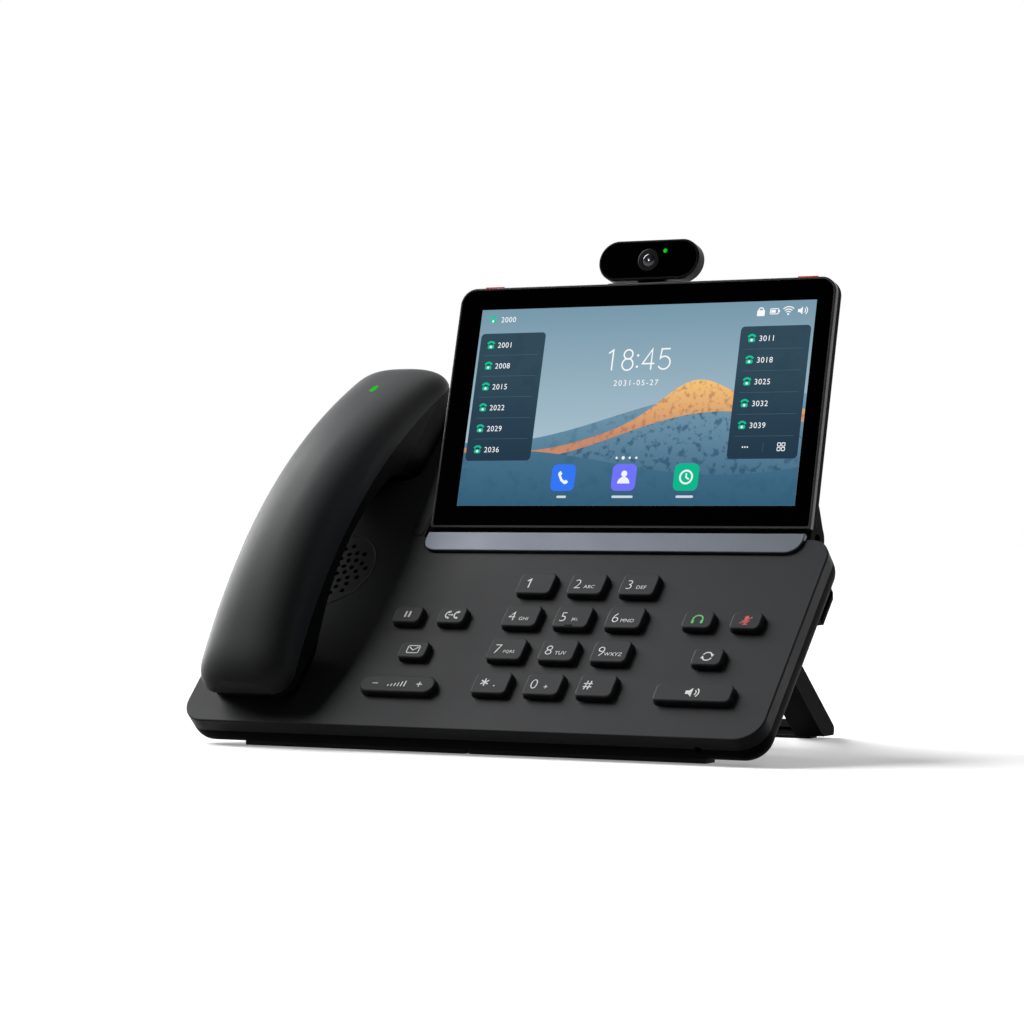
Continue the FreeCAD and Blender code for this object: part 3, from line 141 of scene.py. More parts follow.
def moulded_with_painted_shade_band(name, low, high, foot, level_mm, fade_mm):
    """Moulded ABS whose lowest band against the keypad face is tinted near black: painted shade where it
    meets that face.
    """
    material = moulded(name, low, high, 0.5, Specular_IOR_Level=0.04)
    tree = material.node_tree
    principled = tree.nodes["Principled BSDF"]
    body_tone = principled.inputs["Base Color"].links[0].from_socket
    place = add(tree, "ShaderNodeTexCoord", {})
    height = add(tree, "ShaderNodeVectorMath", {0: (place, "Object"), 1: KEY_FACE.to_3x3().col[2]},
                 operation="DOT_PRODUCT")
    face_level = measured("base_top_cover", KEY_FACE)[1].z
    share = add(tree, "ShaderNodeMapRange", {"Value": (height, "Value"),
                                             "From Min": (face_level + level_mm) * MM,
                                             "From Max": (face_level + level_mm + fade_mm) * MM})
    # painted shade: up to level_mm above the keypad face the tone is the near-black foot colour, fading to
    # the body over fade_mm
    banded = add(tree, "ShaderNodeMix", {"Factor": (share, "Result"), "A": linear(foot)}, data_type="RGBA")
    tree.links.new(body_tone, banded.inputs[7])
    tree.links.new(banded.outputs[2], principled.inputs["Base Color"])
    return material


def metal(name, low, high, roughness, brush_mm, length, depth_mm=0.004):
    """Metal with a fine directional finish along X, length times longer than it is wide."""
    return surfaced(name, low, high, roughness, 30, brush_mm, depth_mm, (length, 1, 1), 0.04, Metallic=1.0)


def glassy(name, low, high, roughness, level):
    """Polished glass or smooth plastic: near-even colour, faint handling smears in its gloss."""
    return surfaced(name, low, high, roughness, 18, 9, 0.002, spread=0.02, Specular_IOR_Level=level)


def lamp_lens(name, low, high, strength):
    """A moulded light pipe lit from behind: clouds of 2 mm in its glow keep it from looking flat."""
    material, tree, principled = shader(name, Roughness=0.25, Specular_IOR_Level=0.0,
                                        Emission_Strength=strength)
    principled.inputs["Base Color"].default_value = linear("#0a0a0a")
    colour = add(tree, "ShaderNodeMix", {"Factor": (uneven(tree, 2.0), 0), "A": linear(low),
                                         "B": linear(high)}, data_type="RGBA")
    tree.links.new(colour.outputs[2], principled.inputs["Emission Color"])
    return material


TRACK_PITCH_MM = 9


def circuit_board(name):
    """Green solder mask over copper tracks under a semi-gloss lacquer. The tracks are drawn much wider apart
    than real ones, so that they show."""
    material, tree, principled = shader(name, Roughness=0.35, Coat_Weight=0.4)
    place = add(tree, "ShaderNodeTexCoord", {})
    tracks = add(tree, "ShaderNodeTexBrick", {"Vector": (place, "Object"),
                                              "Scale": 1 / (TRACK_PITCH_MM * MM),
                                              "Color1": linear("#1c5a38"), "Color2": linear("#17502f"),
                                              "Mortar": linear("#2f7a4c"), "Mortar Size": 0.03})
    tree.links.new(tracks.outputs["Color"], principled.inputs["Base Color"])
    bump = add(tree, "ShaderNodeBump", {"Height": (tracks, "Fac"), "Strength": 0.3, "Distance": 0.03 * MM})
    tree.links.new(bump.outputs["Normal"], principled.inputs["Normal"])
    return material


FINISHES = {
    # ABS from a spark-eroded tool: a soft sheen, no mirror. The real grain of about 0.15 mm is too fine to
    # show, so it is drawn at 0.5 to 0.8 mm
    "casing": moulded("grained_black_abs", "#37383a", "#3b3c3e", 0.42, 0.8, 0.04, Specular_IOR_Level=0.06),
    "lower_casing": moulded("grained_black_abs_underside", "#202121", "#242525", 0.50, 0.8, 0.04,
                            Specular_IOR_Level=0.01),
    "key_plastic": moulded("satin_key_abs", "#38393b", "#3c3d3f", 0.42, 0.5, 0.02, Specular_IOR_Level=0.06),
    "trim": moulded("satin_trim_abs", "#2c2d2e", "#303132", 0.42, 0.6, 0.02, Specular_IOR_Level=0.08),
    "camera_shell": moulded("satin_camera_abs", "#1d1e1f", "#212223", 0.38, 0.6, 0.02,
                            Specular_IOR_Level=0.08),
    # ABS from a vapour-blasted tool: smooth to the hand, with a long soft highlight down its side. The inside
    # is matt, with a near-black band of painted shade where it meets the keypad face
    "handset_shell": moulded("satin_black_abs", "#5a5b5c", "#5e5f60", 0.38, 0.6, 0.015,
                             Specular_IOR_Level=0.05),
    "handset_inside": moulded_with_painted_shade_band("matt_black_abs_with_painted_shade", "#1e1f1f", "#222323",
                                             foot="#030303", level_mm=3, fade_mm=0.5),
    # glass-filled PBT, pressed paper, powder coat and rubber: dull and dark, they hardly catch the light
    "jack": moulded("moulded_connector_pbt", "#141415", "#191919", 0.45),
    "driver": moulded("pressed_paper_and_abs", "#1a1a1a", "#242321", 0.7, 1.2, 0.1),
    "bracket": moulded("black_powder_coat", "#121213", "#161617", 0.55, 0.4, 0.05, Specular_IOR_Level=0.2),
    "rubber": moulded("moulded_black_rubber", "#101010", "#161616", 0.75, 0.3, 0.03, Specular_IOR_Level=0.2),
    # smooth painted polycarbonate: a broad, even satin light along the frame
    "bezel": glassy("satin_painted_polycarbonate", "#2c2d2f", "#323335", 0.36, 0.5),
    # coated glass and smoked acrylic: deep black that mirrors very little
    "cover_glass": glassy("antireflective_cover_glass", "#020202", "#030303", 0.10, 0.015),
    "camera_face": glassy("smoked_acrylic_window", "#020202", "#030303", 0.12, 0.02),
    # anodised barrel, laminated glass module and heat-shrunk film: a soft gloss on hidden or small pieces
    "lens_glass": glassy("black_anodised_barrel", "#101012", "#151518", 0.30, 0.4),
    "panel": glassy("laminated_liquid_crystal_glass", "#16202c", "#1b2633", 0.2, 0.4),
    "battery": glassy("heat_shrunk_blue_film", "#2c4c8c", "#335598", 0.4, 0.4),
    # polycarbonate light pipes: they glow in their own colour and mirror nothing
    "red_lens": lamp_lens("red_polycarbonate_light_pipe", "#d3141c", "#ec2a2c", 0.9),
    "green_lens": lamp_lens("green_polycarbonate_light_pipe", "#06bb0a", "#14cf18", 1.0),
    # brushed and anodised aluminium: an even silky band, its fine lines along the strip
    "strip_metal": metal("anodised_blue_grey_aluminium", "#474a51", "#4e5158", 0.42, 0.12, 40),
    # plated sheet and turned steel, and gold flash: bright metal with drawn lines
    "socket_steel": metal("tinned_steel", "#a3a5a8", "#b4b6b8", 0.35, 0.3, 8),
    "steel": metal("zinc_plated_steel", "#9b9da0", "#aeb0b2", 0.38, 0.3, 6),
    "contact": metal("gold_flash", "#c9973f", "#d9a94d", 0.3, 0.2, 4),
    # lacquered glass-fibre board, and moulded silicone with a milky skin
    "board": circuit_board("solder_mask_board"),
    "dome_sheet": moulded("silicone_dome_sheet", "#bdbdb6", "#c8c8c2", 0.55, 1.5, 0.05),
}

# The camera's foot takes the darker finish of the base's underside, as painted shade
SHADE_PAINTED_PIECES = {"camera_foot": "lower_casing"}


def finish_nodes():
    """Gives each CAD node the finish of its material slot, and the camera's foot the underside's darker one
    as painted shade.
    """
    for part in frame["record"]["subparts"]:
        piece = NODES[part["node"]]
        piece.data.materials.clear()
        finish = SHADE_PAINTED_PIECES.get(part["node"], part["material_slot"])
        piece.data.materials.append(FINISHES[finish])


finish_nodes()


# Thin shapes on a face

INK_DEPTH = 0.025
# Start, stop and steps of a full turn whose last point joins its first
CIRCLE = (0, 345, 23)
LETTER_SMOOTHNESS = 4


def arc(x, y, radius, start, stop, steps=14):
    """Points along an arc, angles in degrees."""
    turns = [math.radians(start + (stop - start) * i / steps) for i in range(steps + 1)]
    return [(x + radius * math.cos(turn), y + radius * math.sin(turn)) for turn in turns]


def round_box(x, y, width, height, corner):
    """Outline of a rounded rectangle about a middle point."""
    dx, dy = width / 2 - corner, height / 2 - corner
    outline = []
    for sx, sy, start in ((1, -1, -90), (1, 1, 0), (-1, 1, 90), (-1, -1, 180)):
        outline += arc(x + sx * dx, y + sy * dy, corner, start, start + 90, 6)
    return outline


def moved(points, x, y, size=1.0, turn=0.0):
    """Points scaled, turned by degrees and moved."""
    c, s = size * math.cos(math.radians(turn)), size * math.sin(math.radians(turn))
    return [(x + c * px - s * py, y + s * px + c * py) for px, py in points]


class Sheet:
    """Collects thin closed shapes that lie on one face, in millimetres about a middle point."""

    def __init__(self, depth=INK_DEPTH):
        self.mesh = bmesh.new()
        self.depth = depth

    def corner(self, x, y, high):
        return self.mesh.verts.new((x * MM, y * MM, self.depth * MM if high else 0.0))

    def plate(self, outline):
        """A filled outline."""
        lower = [self.corner(x, y, False) for x, y in outline]
        upper = [self.corner(x, y, True) for x, y in outline]
        self.mesh.faces.new(lower[::-1])
        self.mesh.faces.new(upper)
        for i in range(len(outline)):
            self.mesh.faces.new((lower[i - 1], lower[i], upper[i], upper[i - 1]))
        return self

    def line(self, points, width, closed=False):
        """A stroke of even width along points."""
        places = [Vector(point) for point in points]
        rows = []
        for i, place in enumerate(places):
            before = places[i - 1] if i or closed else None
            after = places[(i + 1) % len(places)] if i + 1 < len(places) or closed else None
            into = (place - before).normalized() if before else (after - place).normalized()
            out = (after - place).normalized() if after else into
            side = Vector((-into.y - out.y, into.x + out.x)).normalized()
            reach = side * (width / 2 / max(0.4, side.dot(Vector((-into.y, into.x)))))
            rows.append([self.corner(*(place + sign * reach), high)
                         for sign, high in ((1, False), (-1, False), (-1, True), (1, True))])
        joins = list(zip(rows, rows[1:])) + ([(rows[-1], rows[0])] if closed else [])
        for here, there in joins:
            for i in range(4):
                self.mesh.faces.new((here[i - 1], here[i], there[i], there[i - 1]))
        if not closed:
            self.mesh.faces.new(rows[0])
            self.mesh.faces.new(rows[-1][::-1])
        return self

    def ring(self, x, y, radius, width):
        return self.line(arc(x, y, radius, *CIRCLE), width, closed=True)

    def disc(self, x, y, radius):
        return self.plate(arc(x, y, radius, *CIRCLE))

    def words(self, text, x, y, height, anchor="CENTER", weight=0.0, spacing=1.0):
        """Plain lettering of a given height, made one unit deep and then scaled to the sheet."""
        curve = bpy.data.curves.new("words", "FONT")
        curve.body = text
        curve.align_x = anchor
        curve.offset = weight
        curve.space_character = spacing
        curve.resolution_u = LETTER_SMOOTHNESS
        curve.extrude = 0.5
        holder = bpy.data.objects.new("words", curve)
        bpy.context.collection.objects.link(holder)
        shape = bpy.data.meshes.new_from_object(holder)
        levels = [vertex.co.y for vertex in shape.vertices]
        size = height / (max(levels) - min(levels))
        middle = size * (max(levels) + min(levels)) / 2
        lift = Matrix.Translation((x * MM, (y - middle) * MM, self.depth / 2 * MM))
        shape.transform(lift @ Matrix.Diagonal((size * MM, size * MM, self.depth * MM, 1)))
        self.mesh.from_mesh(shape)
        bpy.data.objects.remove(holder)
        bpy.data.curves.remove(curve)
        bpy.data.meshes.remove(shape)
        return self

    def piece(self, name, face, place, material, body, slot):
        """Makes the shapes one object on a face; place is in that face's axes."""
        bmesh.ops.remove_doubles(self.mesh, verts=self.mesh.verts, dist=1e-8)
        bmesh.ops.recalc_face_normals(self.mesh, faces=self.mesh.faces)
        data = bpy.data.meshes.new(name)
        self.mesh.to_mesh(data)
        self.mesh.free()
        data.materials.append(material)
        item = bpy.data.objects.new(name, data)
        item.matrix_world = face @ Matrix.Translation(Vector(place) * MM)
        bpy.context.collection.objects.link(item)
        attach(item, body)
        return item


# Key legends

def ink(name, low, high):
    """Screen-printed ink: matt, very slightly uneven in cover."""
    return surfaced(name, low, high, 0.5, 1.5, 0.4, 0.004)


WHITE_INK = ink("white_key_ink", "#e9eaea", "#f3f4f4")
GREEN_INK = ink("green_key_ink", "#23c53c", "#2fd648")
RED_INK = ink("red_key_ink", "#d8282e", "#e63a3e")
LIFT = 0.006


def key_top(key):
    low, high = measured(key, KEY_FACE)
    return Vector(((low.x + high.x) / 2, (low.y + high.y) / 2, high.z + LIFT))


def print_on(key, sheet, material=WHITE_INK):
    sheet.piece("legend_" + key, KEY_FACE, key_top(key), material, key, "key_plastic")


HANDPIECE = [(-1.6, 1.25), (-1.05, 1.75), (-0.45, 1.05), (-0.75, 0.5), (-0.2, -0.35), (0.5, -0.85),
             (1.05, -0.55), (1.75, -1.1), (1.25, -1.65), (0.6, -1.75), (-0.6, -1.0), (-1.3, 0.1),
             (-1.65, 0.75)]
SPEAKER_BOX = [(-2.4, -0.75), (-1.3, -0.75), (0.0, -1.9), (0.0, 1.9), (-1.3, 0.75), (-2.4, 0.75)]


def speaker_glyph(sheet, x, y, size):
    """A loudspeaker with two sound waves."""
    sheet.plate(moved(SPEAKER_BOX, x, y, size))
    for radius in (1.2, 2.2):
        sheet.line(moved(arc(0.3, 0, radius, -52, 52), x, y, size), 0.45 * size)


DIGITS = {"1": "", "2": "ABC", "3": "DEF", "4": "GHI", "5": "JKL", "6": "MNO", "7": "PQRS", "8": "TUV",
          "9": "WXYZ", "0": "+"}
DIGIT_HEIGHT = 4.7
DIGIT_WEIGHT = -0.016
DIGIT_PLACE = (-3.9, -0.2)
ONE_STROKE = [(-4.1, 1.1), (-2.7, 2.05), (-2.7, -2.55)]
STROKE = 0.62
LETTER_HEIGHT = 1.75
LETTER_PLACE = (1.6, -1.55)
PLUS_PLACE = (1.6, -1.5)
STAR_X = -2.9
STAR_ARM = [(-1.9, 0), (1.9, 0)]
STAR_DOT = (1.8, -1.7, 0.32)
HASH_X = -3.6
NIB_HEIGHT = 0.3
# Middle, width, height and corner on the key
NIB = (-0.6, -4.3, 3.2, 0.6, 0.28)


def dial_legends():
    """Figures with their letters, the star, the hash, and the nib that fingers find on the 5 key."""
    for digit, letters in DIGITS.items():
        sheet = Sheet()
        if digit == "1":
            sheet.line(ONE_STROKE, STROKE)
        else:
            sheet.words(digit, *DIGIT_PLACE, DIGIT_HEIGHT, weight=DIGIT_WEIGHT)
        if letters == "+":
            sheet.words(letters, *PLUS_PLACE, LETTER_HEIGHT)
        elif letters:
            sheet.words(letters, *LETTER_PLACE, LETTER_HEIGHT, spacing=1.05)
        print_on("key_" + digit, sheet)
    star = Sheet()
    for turn in (0, 60, 120):
        star.line(moved(STAR_ARM, STAR_X, 0, 1, turn + 90), 0.55)
    star.disc(*STAR_DOT)
    print_on("key_star", star)
    hash_mark = Sheet()
    for shift in (-0.8, 0.8):
        hash_mark.line([(HASH_X + shift - 0.35, -2.2), (HASH_X + shift + 0.35, 2.2)], 0.5)
        hash_mark.line([(HASH_X - 1.9, shift), (HASH_X + 1.9, shift)], 0.5)
    print_on("key_hash", hash_mark)
    nib = Sheet(NIB_HEIGHT).plate(round_box(*NIB))
    nib.piece("nib_key_5", KEY_FACE, key_top("key_5"), FINISHES["key_plastic"], "key_5", "key_plastic")


def hold_legend(sheet):
    """Two bars."""
    for x in (-0.9, 0.9):
        sheet.plate(round_box(x, 0, 0.85, 3.2, 0.2))


def transfer_legend(sheet):
    """Two receivers on end, with an arrow from one to the other."""
    for x in (-2.3, 1.7):
        sheet.line(arc(x + 1.5, 0, 1.95, 118, 242), 0.6)
        for end in (-1, 1):
            sheet.plate(moved(round_box(0, 0, 1.35, 0.95, 0.25), x + 0.95, end * 1.55, 1, end * 28))
    sheet.line([(-1.5, 0), (0.1, 0)], 0.4)
    sheet.plate([(0.0, -0.6), (0.85, 0.0), (0.0, 0.6)])


def message_legend(sheet):
    """An envelope."""
    sheet.line(round_box(0, 0, 5.4, 3.8, 0.7), 0.45, closed=True)
    sheet.line([(-2.1, 1.15), (0, -0.5), (2.1, 1.15)], 0.45)


def headset_legend(sheet):
    """A headband with two ear pieces."""
    sheet.line(arc(0, 0, 2.1, -15, 195), 0.6)
    for side in (-1, 1):
        sheet.plate(round_box(side * 1.95, -1.1, 1.1, 1.9, 0.45))


def mute_legend(sheet):
    """A microphone on its stand, struck through."""
    sheet.plate(round_box(0, 0.7, 1.7, 3.1, 0.84))
    sheet.line(arc(0, 0.35, 1.55, 195, 345), 0.42)
    sheet.line([(0, -1.2), (0, -1.9)], 0.45)
    sheet.line([(-1.1, -2.1), (1.1, -2.1)], 0.45)
    sheet.line([(-2.3, -1.5), (2.3, 1.6)], 0.5)


def redial_legend(sheet):
    """Two arrows that chase each other round a ring."""
    for turn in (0, 180):
        sheet.line(moved(arc(0, 0, 2.0, 28, 158), 0, 0, 1, turn), 0.5)
        sheet.plate(moved([(1.1, 0.95), (2.65, 1.1), (2.05, -0.35)], 0, 0, 1, turn))


def speaker_legend(sheet):
    speaker_glyph(sheet, -0.4, 0, 1.15)


def volume_legend(sheet):
    """A minus, six rising bars and a plus."""
    sheet.line([(-11.5, 0), (-8.9, 0)], 0.45)
    sheet.line([(8.9, 0), (11.5, 0)], 0.45)
    sheet.line([(10.2, -1.3), (10.2, 1.3)], 0.45)
    for step in range(6):
        x = -4.0 + step * 1.5
        sheet.line([(x, -1.35), (x + 0.25, -1.35 + 0.8 + 0.42 * step)], 0.5)


FUNCTION_KEYS = [
    ("hold_key", hold_legend, WHITE_INK),
    ("transfer_key", transfer_legend, WHITE_INK),
    ("message_key", message_legend, WHITE_INK),
    ("headset_key", headset_legend, GREEN_INK),
    ("mute_key", mute_legend, RED_INK),
    ("redial_key", redial_legend, WHITE_INK),
    ("speaker_key", speaker_legend, WHITE_INK),
    ("volume_rocker", volume_legend, WHITE_INK),
]


def function_legends():
    for key, draw, material in FUNCTION_KEYS:
        sheet = Sheet()
        draw(sheet)
        print_on(key, sheet, material)


dial_legends()
function_legends()


# Screen

GLASS_LOW, GLASS_HIGH = measured("display_glass", GLASS_FACE)
SCREEN_X = 34.0
SCREEN_WIDTH = 153.8
SCREEN_LOW = GLASS_LOW.y + 8.25
SCREEN_HEIGHT = 85.7
LAYER = 0.03
FILM = LAYER * 0.6
PIXEL_MM = 0.15


def lit(name, low, high, low_mm=0.0, high_mm=SCREEN_HEIGHT, mottle=0.0, specks="#000000", speck_mm=3.0):
    """Light of a screen area: two colours that blend up the glass, over a pixel grid too fine to see apart,
    with soft specks where asked."""
    material, tree, principled = shader(name, Roughness=0.18, Specular_IOR_Level=0.06, Emission_Strength=1.0)
    principled.inputs["Base Color"].default_value = linear("#010101")
    place = add(tree, "ShaderNodeTexCoord", {})
    axes = add(tree, "ShaderNodeSeparateXYZ", {"Vector": (place, "Object")})
    share = add(tree, "ShaderNodeMapRange", {"Value": (axes, "Y"), "From Min": low_mm * MM,
                                             "From Max": high_mm * MM})
    blend = add(tree, "ShaderNodeMix", {"Factor": (share, 0), "A": linear(low), "B": linear(high)},
                data_type="RGBA")
    grid = add(tree, "ShaderNodeTexChecker", {"Vector": (place, "Object"), "Scale": 1 / (PIXEL_MM * MM),
                                              "Color1": linear("#ffffff"), "Color2": linear("#fdfdfd")})
    colour = add(tree, "ShaderNodeMix", {"Factor": 1.0}, data_type="RGBA", blend_type="MULTIPLY")
    tree.links.new(blend.outputs[2], colour.inputs[6])
    tree.links.new(grid.outputs["Color"], colour.inputs[7])
    last = colour.outputs[2]
    if mottle:
        spots = add(tree, "ShaderNodeMapRange", {"Value": (uneven(tree, speck_mm, 4.0), 0), "From Min": 0.52,
                                                 "From Max": 0.62, "To Max": mottle})
        spotted = add(tree, "ShaderNodeMix", {"Factor": (spots, "Result"), "B": linear(specks)},
                      data_type="RGBA")
        tree.links.new(last, spotted.inputs[6])
        last = spotted.outputs[2]
    tree.links.new(last, principled.inputs["Emission Color"])
    return material


def show(sheet, name, layer, material):
    """Puts shapes on the screen; their place is from the middle of the screen's bottom edge."""
    place = (SCREEN_X, SCREEN_LOW, GLASS_HIGH.z + LIFT + layer * LAYER)
    sheet.piece("screen_" + name, GLASS_FACE, place, material, "display", "panel")


SCREEN_WHITE = lit("screen_white_light", "#f0f4f6", "#fbfdfd")
SIDE = SCREEN_WIDTH / 2
WAVE_POINTS = 48


def wave(base, rise, swell, length, shift):
    """Upper edge of a rolling band across the screen."""
    edge = []
    for i in range(WAVE_POINTS + 1):
        share = i / WAVE_POINTS
        x = -SIDE + SCREEN_WIDTH * share
        edge.append((x, base + rise * share + swell * math.sin(math.tau * (share / length + shift))))
    return edge


def band(edge):
    """The area of the screen below an edge."""
    return Sheet(FILM).plate([(-SIDE, 0), (SIDE, 0)] + edge[::-1])


GLOW_RISE = 11.5
GLOW_X = 27
GLOW_REACH = 19


def backdrop():
    """A sky over four rolling bands, the second with a warm crest."""
    sky = [(-SIDE, SCREEN_HEIGHT), (SIDE, SCREEN_HEIGHT)]
    show(band(sky), "sky", 0, lit("screen_sky", "#a9c1cf", "#7799ab", 25, SCREEN_HEIGHT))
    far = wave(base=31, rise=15, swell=5.5, length=1.15, shift=0.62)
    show(band(far), "far_band", 1, lit("screen_far_band", "#4f7b93", "#7b9fb4", 20, 50, 0.35, "#42687f", 4.0))
    crest = wave(base=27, rise=13, swell=6.0, length=1.05, shift=0.55)
    glow_top = [(x, y + GLOW_RISE * math.exp(-((x - GLOW_X) / GLOW_REACH) ** 2)) for x, y in crest]
    glow = lit("screen_glow_band", "#c98a6c", "#ffcf7d", 30, 58, 0.55, "#a06a58", 2.4)
    show(band(glow_top), "glow_band", 2, glow)
    near = wave(base=25, rise=10, swell=7.0, length=1.05, shift=0.56)
    shade = lit("screen_near_band", "#335f7c", "#6f95ab", 4, 40, 0.6, "#1f4763", 3.4)
    show(band(near), "near_band", 3, shade)
    front = wave(base=17, rise=3, swell=6.5, length=1.4, shift=0.18)
    haze = lit("screen_front_band", "#335d78", "#48748c", 0, 26, 0.25, "#2a536e", 6.0)
    show(band(front), "front_band", 4, haze)


PANEL_LIGHT = "#324a59"
PANEL_DARK = "#22384a"
ROW_PITCH = 9.14
TOP_ROW = 70.0
PANEL_WIDTH = 30.9
PANEL_MIDDLE = 60.3
PANEL_LOW = 19.4
PANEL_HEIGHT = 55.7
PANEL_MARGIN = 2.5
RULE = 0.16
GLYPH_X = -10.2
# Place below the glyph's middle, and radius
GLYPH_EYE = (-0.75, 0.5)
NUMBER_X = -7.0
NUMBER_HEIGHT = 2.35
OWN_LINE = (-71.0, 81.3)
OWN_NUMBER = (-67.2, 81.1)
# Side of the screen, first number and count of filled rows
LINE_LISTS = ((-1, 2001, 6), (1, 3011, 5))
NUMBER_STEP = 7
ROWS = 6


def desk_phone_glyph(sheet, x, y):
    """A telephone seen from the front."""
    sheet.line(arc(x, y - 0.3, 1.75, 28, 152), 0.85)
    sheet.plate(round_box(x, y - 0.75, 3.0, 1.7, 0.7))


def side_panels():
    """Two lists of numbered lines, with a page key and a grid key at the foot of the right one."""
    panels, rules, glyphs, eyes, words = Sheet(FILM), Sheet(FILM), Sheet(), Sheet(), Sheet()
    eye_drop, eye_radius = GLYPH_EYE
    for side, first_number, filled in LINE_LISTS:
        middle = side * PANEL_MIDDLE
        reach = PANEL_WIDTH / 2 - PANEL_MARGIN
        panels.plate(round_box(middle, PANEL_LOW + PANEL_HEIGHT / 2, PANEL_WIDTH, PANEL_HEIGHT, 1.8))
        for row in range(ROWS - 1):
            y = TOP_ROW - (row + 0.5) * ROW_PITCH
            rules.line([(middle - reach, y), (middle + reach, y)], RULE)
        for row in range(filled):
            y = TOP_ROW - row * ROW_PITCH
            number = str(first_number + row * NUMBER_STEP)
            desk_phone_glyph(glyphs, middle + GLYPH_X, y)
            eyes.disc(middle + GLYPH_X, y + eye_drop, eye_radius)
            words.words(number, middle + NUMBER_X, y - 0.1, NUMBER_HEIGHT, "LEFT", spacing=1.1)
    foot = TOP_ROW - (ROWS - 1) * ROW_PITCH
    for x in (-1.05, 0, 1.05):
        words.disc(PANEL_MIDDLE - 7.8 + x, foot, 0.33)
    rules.line([(PANEL_MIDDLE + 0.1, foot - 2), (PANEL_MIDDLE + 0.1, foot + 2)], RULE)
    for x in (-0.95, 0.95):
        for y in (-0.95, 0.95):
            words.line(round_box(PANEL_MIDDLE + 8 + x, foot + y, 1.35, 1.35, 0.3), 0.32, closed=True)
    desk_phone_glyph(glyphs, *OWN_LINE)
    eyes.disc(OWN_LINE[0], OWN_LINE[1] + eye_drop, eye_radius)
    words.words("2000", *OWN_NUMBER, NUMBER_HEIGHT, "LEFT", spacing=1.1)
    shade = lit("screen_panel_shade", PANEL_DARK, PANEL_LIGHT, PANEL_LOW, 60, 0.2, PANEL_DARK, 9.0)
    show(panels, "panels", 5, shade)
    show(rules, "panel_rules", 6, lit("screen_rule_light", "#45606f", "#4a6575"))
    show(glyphs, "row_glyphs", 6, lit("screen_green_light", "#0dbb90", "#12c89a"))
    show(eyes, "row_glyph_dials", 7, SCREEN_WHITE)
    show(words, "row_numbers", 6, SCREEN_WHITE)


STATUS_LEVEL = 81.2
LOCK_X = 52.9
CELL_X = 58.8
SIGNAL_X = 65.0
SOUND_X = 71.2


def status_icons():
    """A padlock, a battery, a wireless signal and a loudspeaker."""
    sheet = Sheet()
    y = STATUS_LEVEL
    sheet.plate(round_box(LOCK_X, y - 0.6, 3.4, 2.5, 0.4))
    sheet.line(arc(LOCK_X, y + 0.6, 1.05, 0, 180), 0.45)
    sheet.line(round_box(CELL_X, y, 3.6, 2.2, 0.4), 0.35, closed=True)
    sheet.plate(round_box(CELL_X - 0.4, y, 2.0, 1.2, 0.1))
    sheet.plate(round_box(CELL_X + 2.15, y, 0.5, 1.0, 0.1))
    for radius in (1.3, 2.3, 3.3):
        sheet.line(arc(SIGNAL_X, y - 1.5, radius, 45, 135), 0.42)
    sheet.disc(SIGNAL_X, y - 1.35, 0.42)
    speaker_glyph(sheet, SOUND_X, y, 0.85)
    show(sheet, "status_icons", 6, SCREEN_WHITE)


HAIRLINE = 0.62
CLOCK_SEGMENTS = {
    "1": [[(0.9, 7.4), (2.9, 8.8), (2.9, 0)]],
    "4": [[(4.0, 0), (4.0, 8.8), (0, 2.6), (5.4, 2.6)]],
    "5": [[(4.8, 8.8), (1.0, 8.8), (0.6, 4.8)] + arc(2.5, 2.85, 2.75, 128, -150, 20)],
    "8": [arc(2.6, 6.75, 2.0, *CIRCLE), arc(2.6, 2.45, 2.5, *CIRCLE)],
}
CLOCK_FIGURES = ((-14.9, "1"), (-7.5, "8"), (2.0, "4"), (9.3, "5"))
CLOCK_LEVEL = 57.7
COLON_X = -0.4
DATE_LEVEL = 52.2
PAGE_LEVEL = 20.2
PAGES = 4
SHOWN_PAGE = 1


def clock():
    """The time in hairline figures, the date below it, and the dots that count the pages."""
    sheet = Sheet()
    for x, figure in CLOCK_FIGURES:
        for points in CLOCK_SEGMENTS[figure]:
            closed = figure == "8"
            sheet.line(moved(points, x, CLOCK_LEVEL), HAIRLINE, closed)
    for y in (59.1, 63.9):
        sheet.disc(COLON_X, y, 0.52)
    sheet.words("2031-05-27", 0, DATE_LEVEL, 2.4, spacing=1.3)
    for page in range(PAGES):
        sheet.disc(-4.6 + 3 * page, PAGE_LEVEL, 0.72 if page == SHOWN_PAGE else 0.5)
    show(sheet, "clock", 6, SCREEN_WHITE)


APP_LEVEL = 11.95
LABEL_LEVEL = 3.75
DIAL_X = -28.2
PEOPLE_X = -0.2
RECENT_X = 27.9
# Name, place across, colour, and place and width of the bar below
APPS = [("dial", DIAL_X, "#3476f5", -28.0, 4.4), ("people", PEOPLE_X, "#6f74fb", 0.0, 9.6),
        ("recent", RECENT_X, "#0cb88c", 28.1, 7.8)]


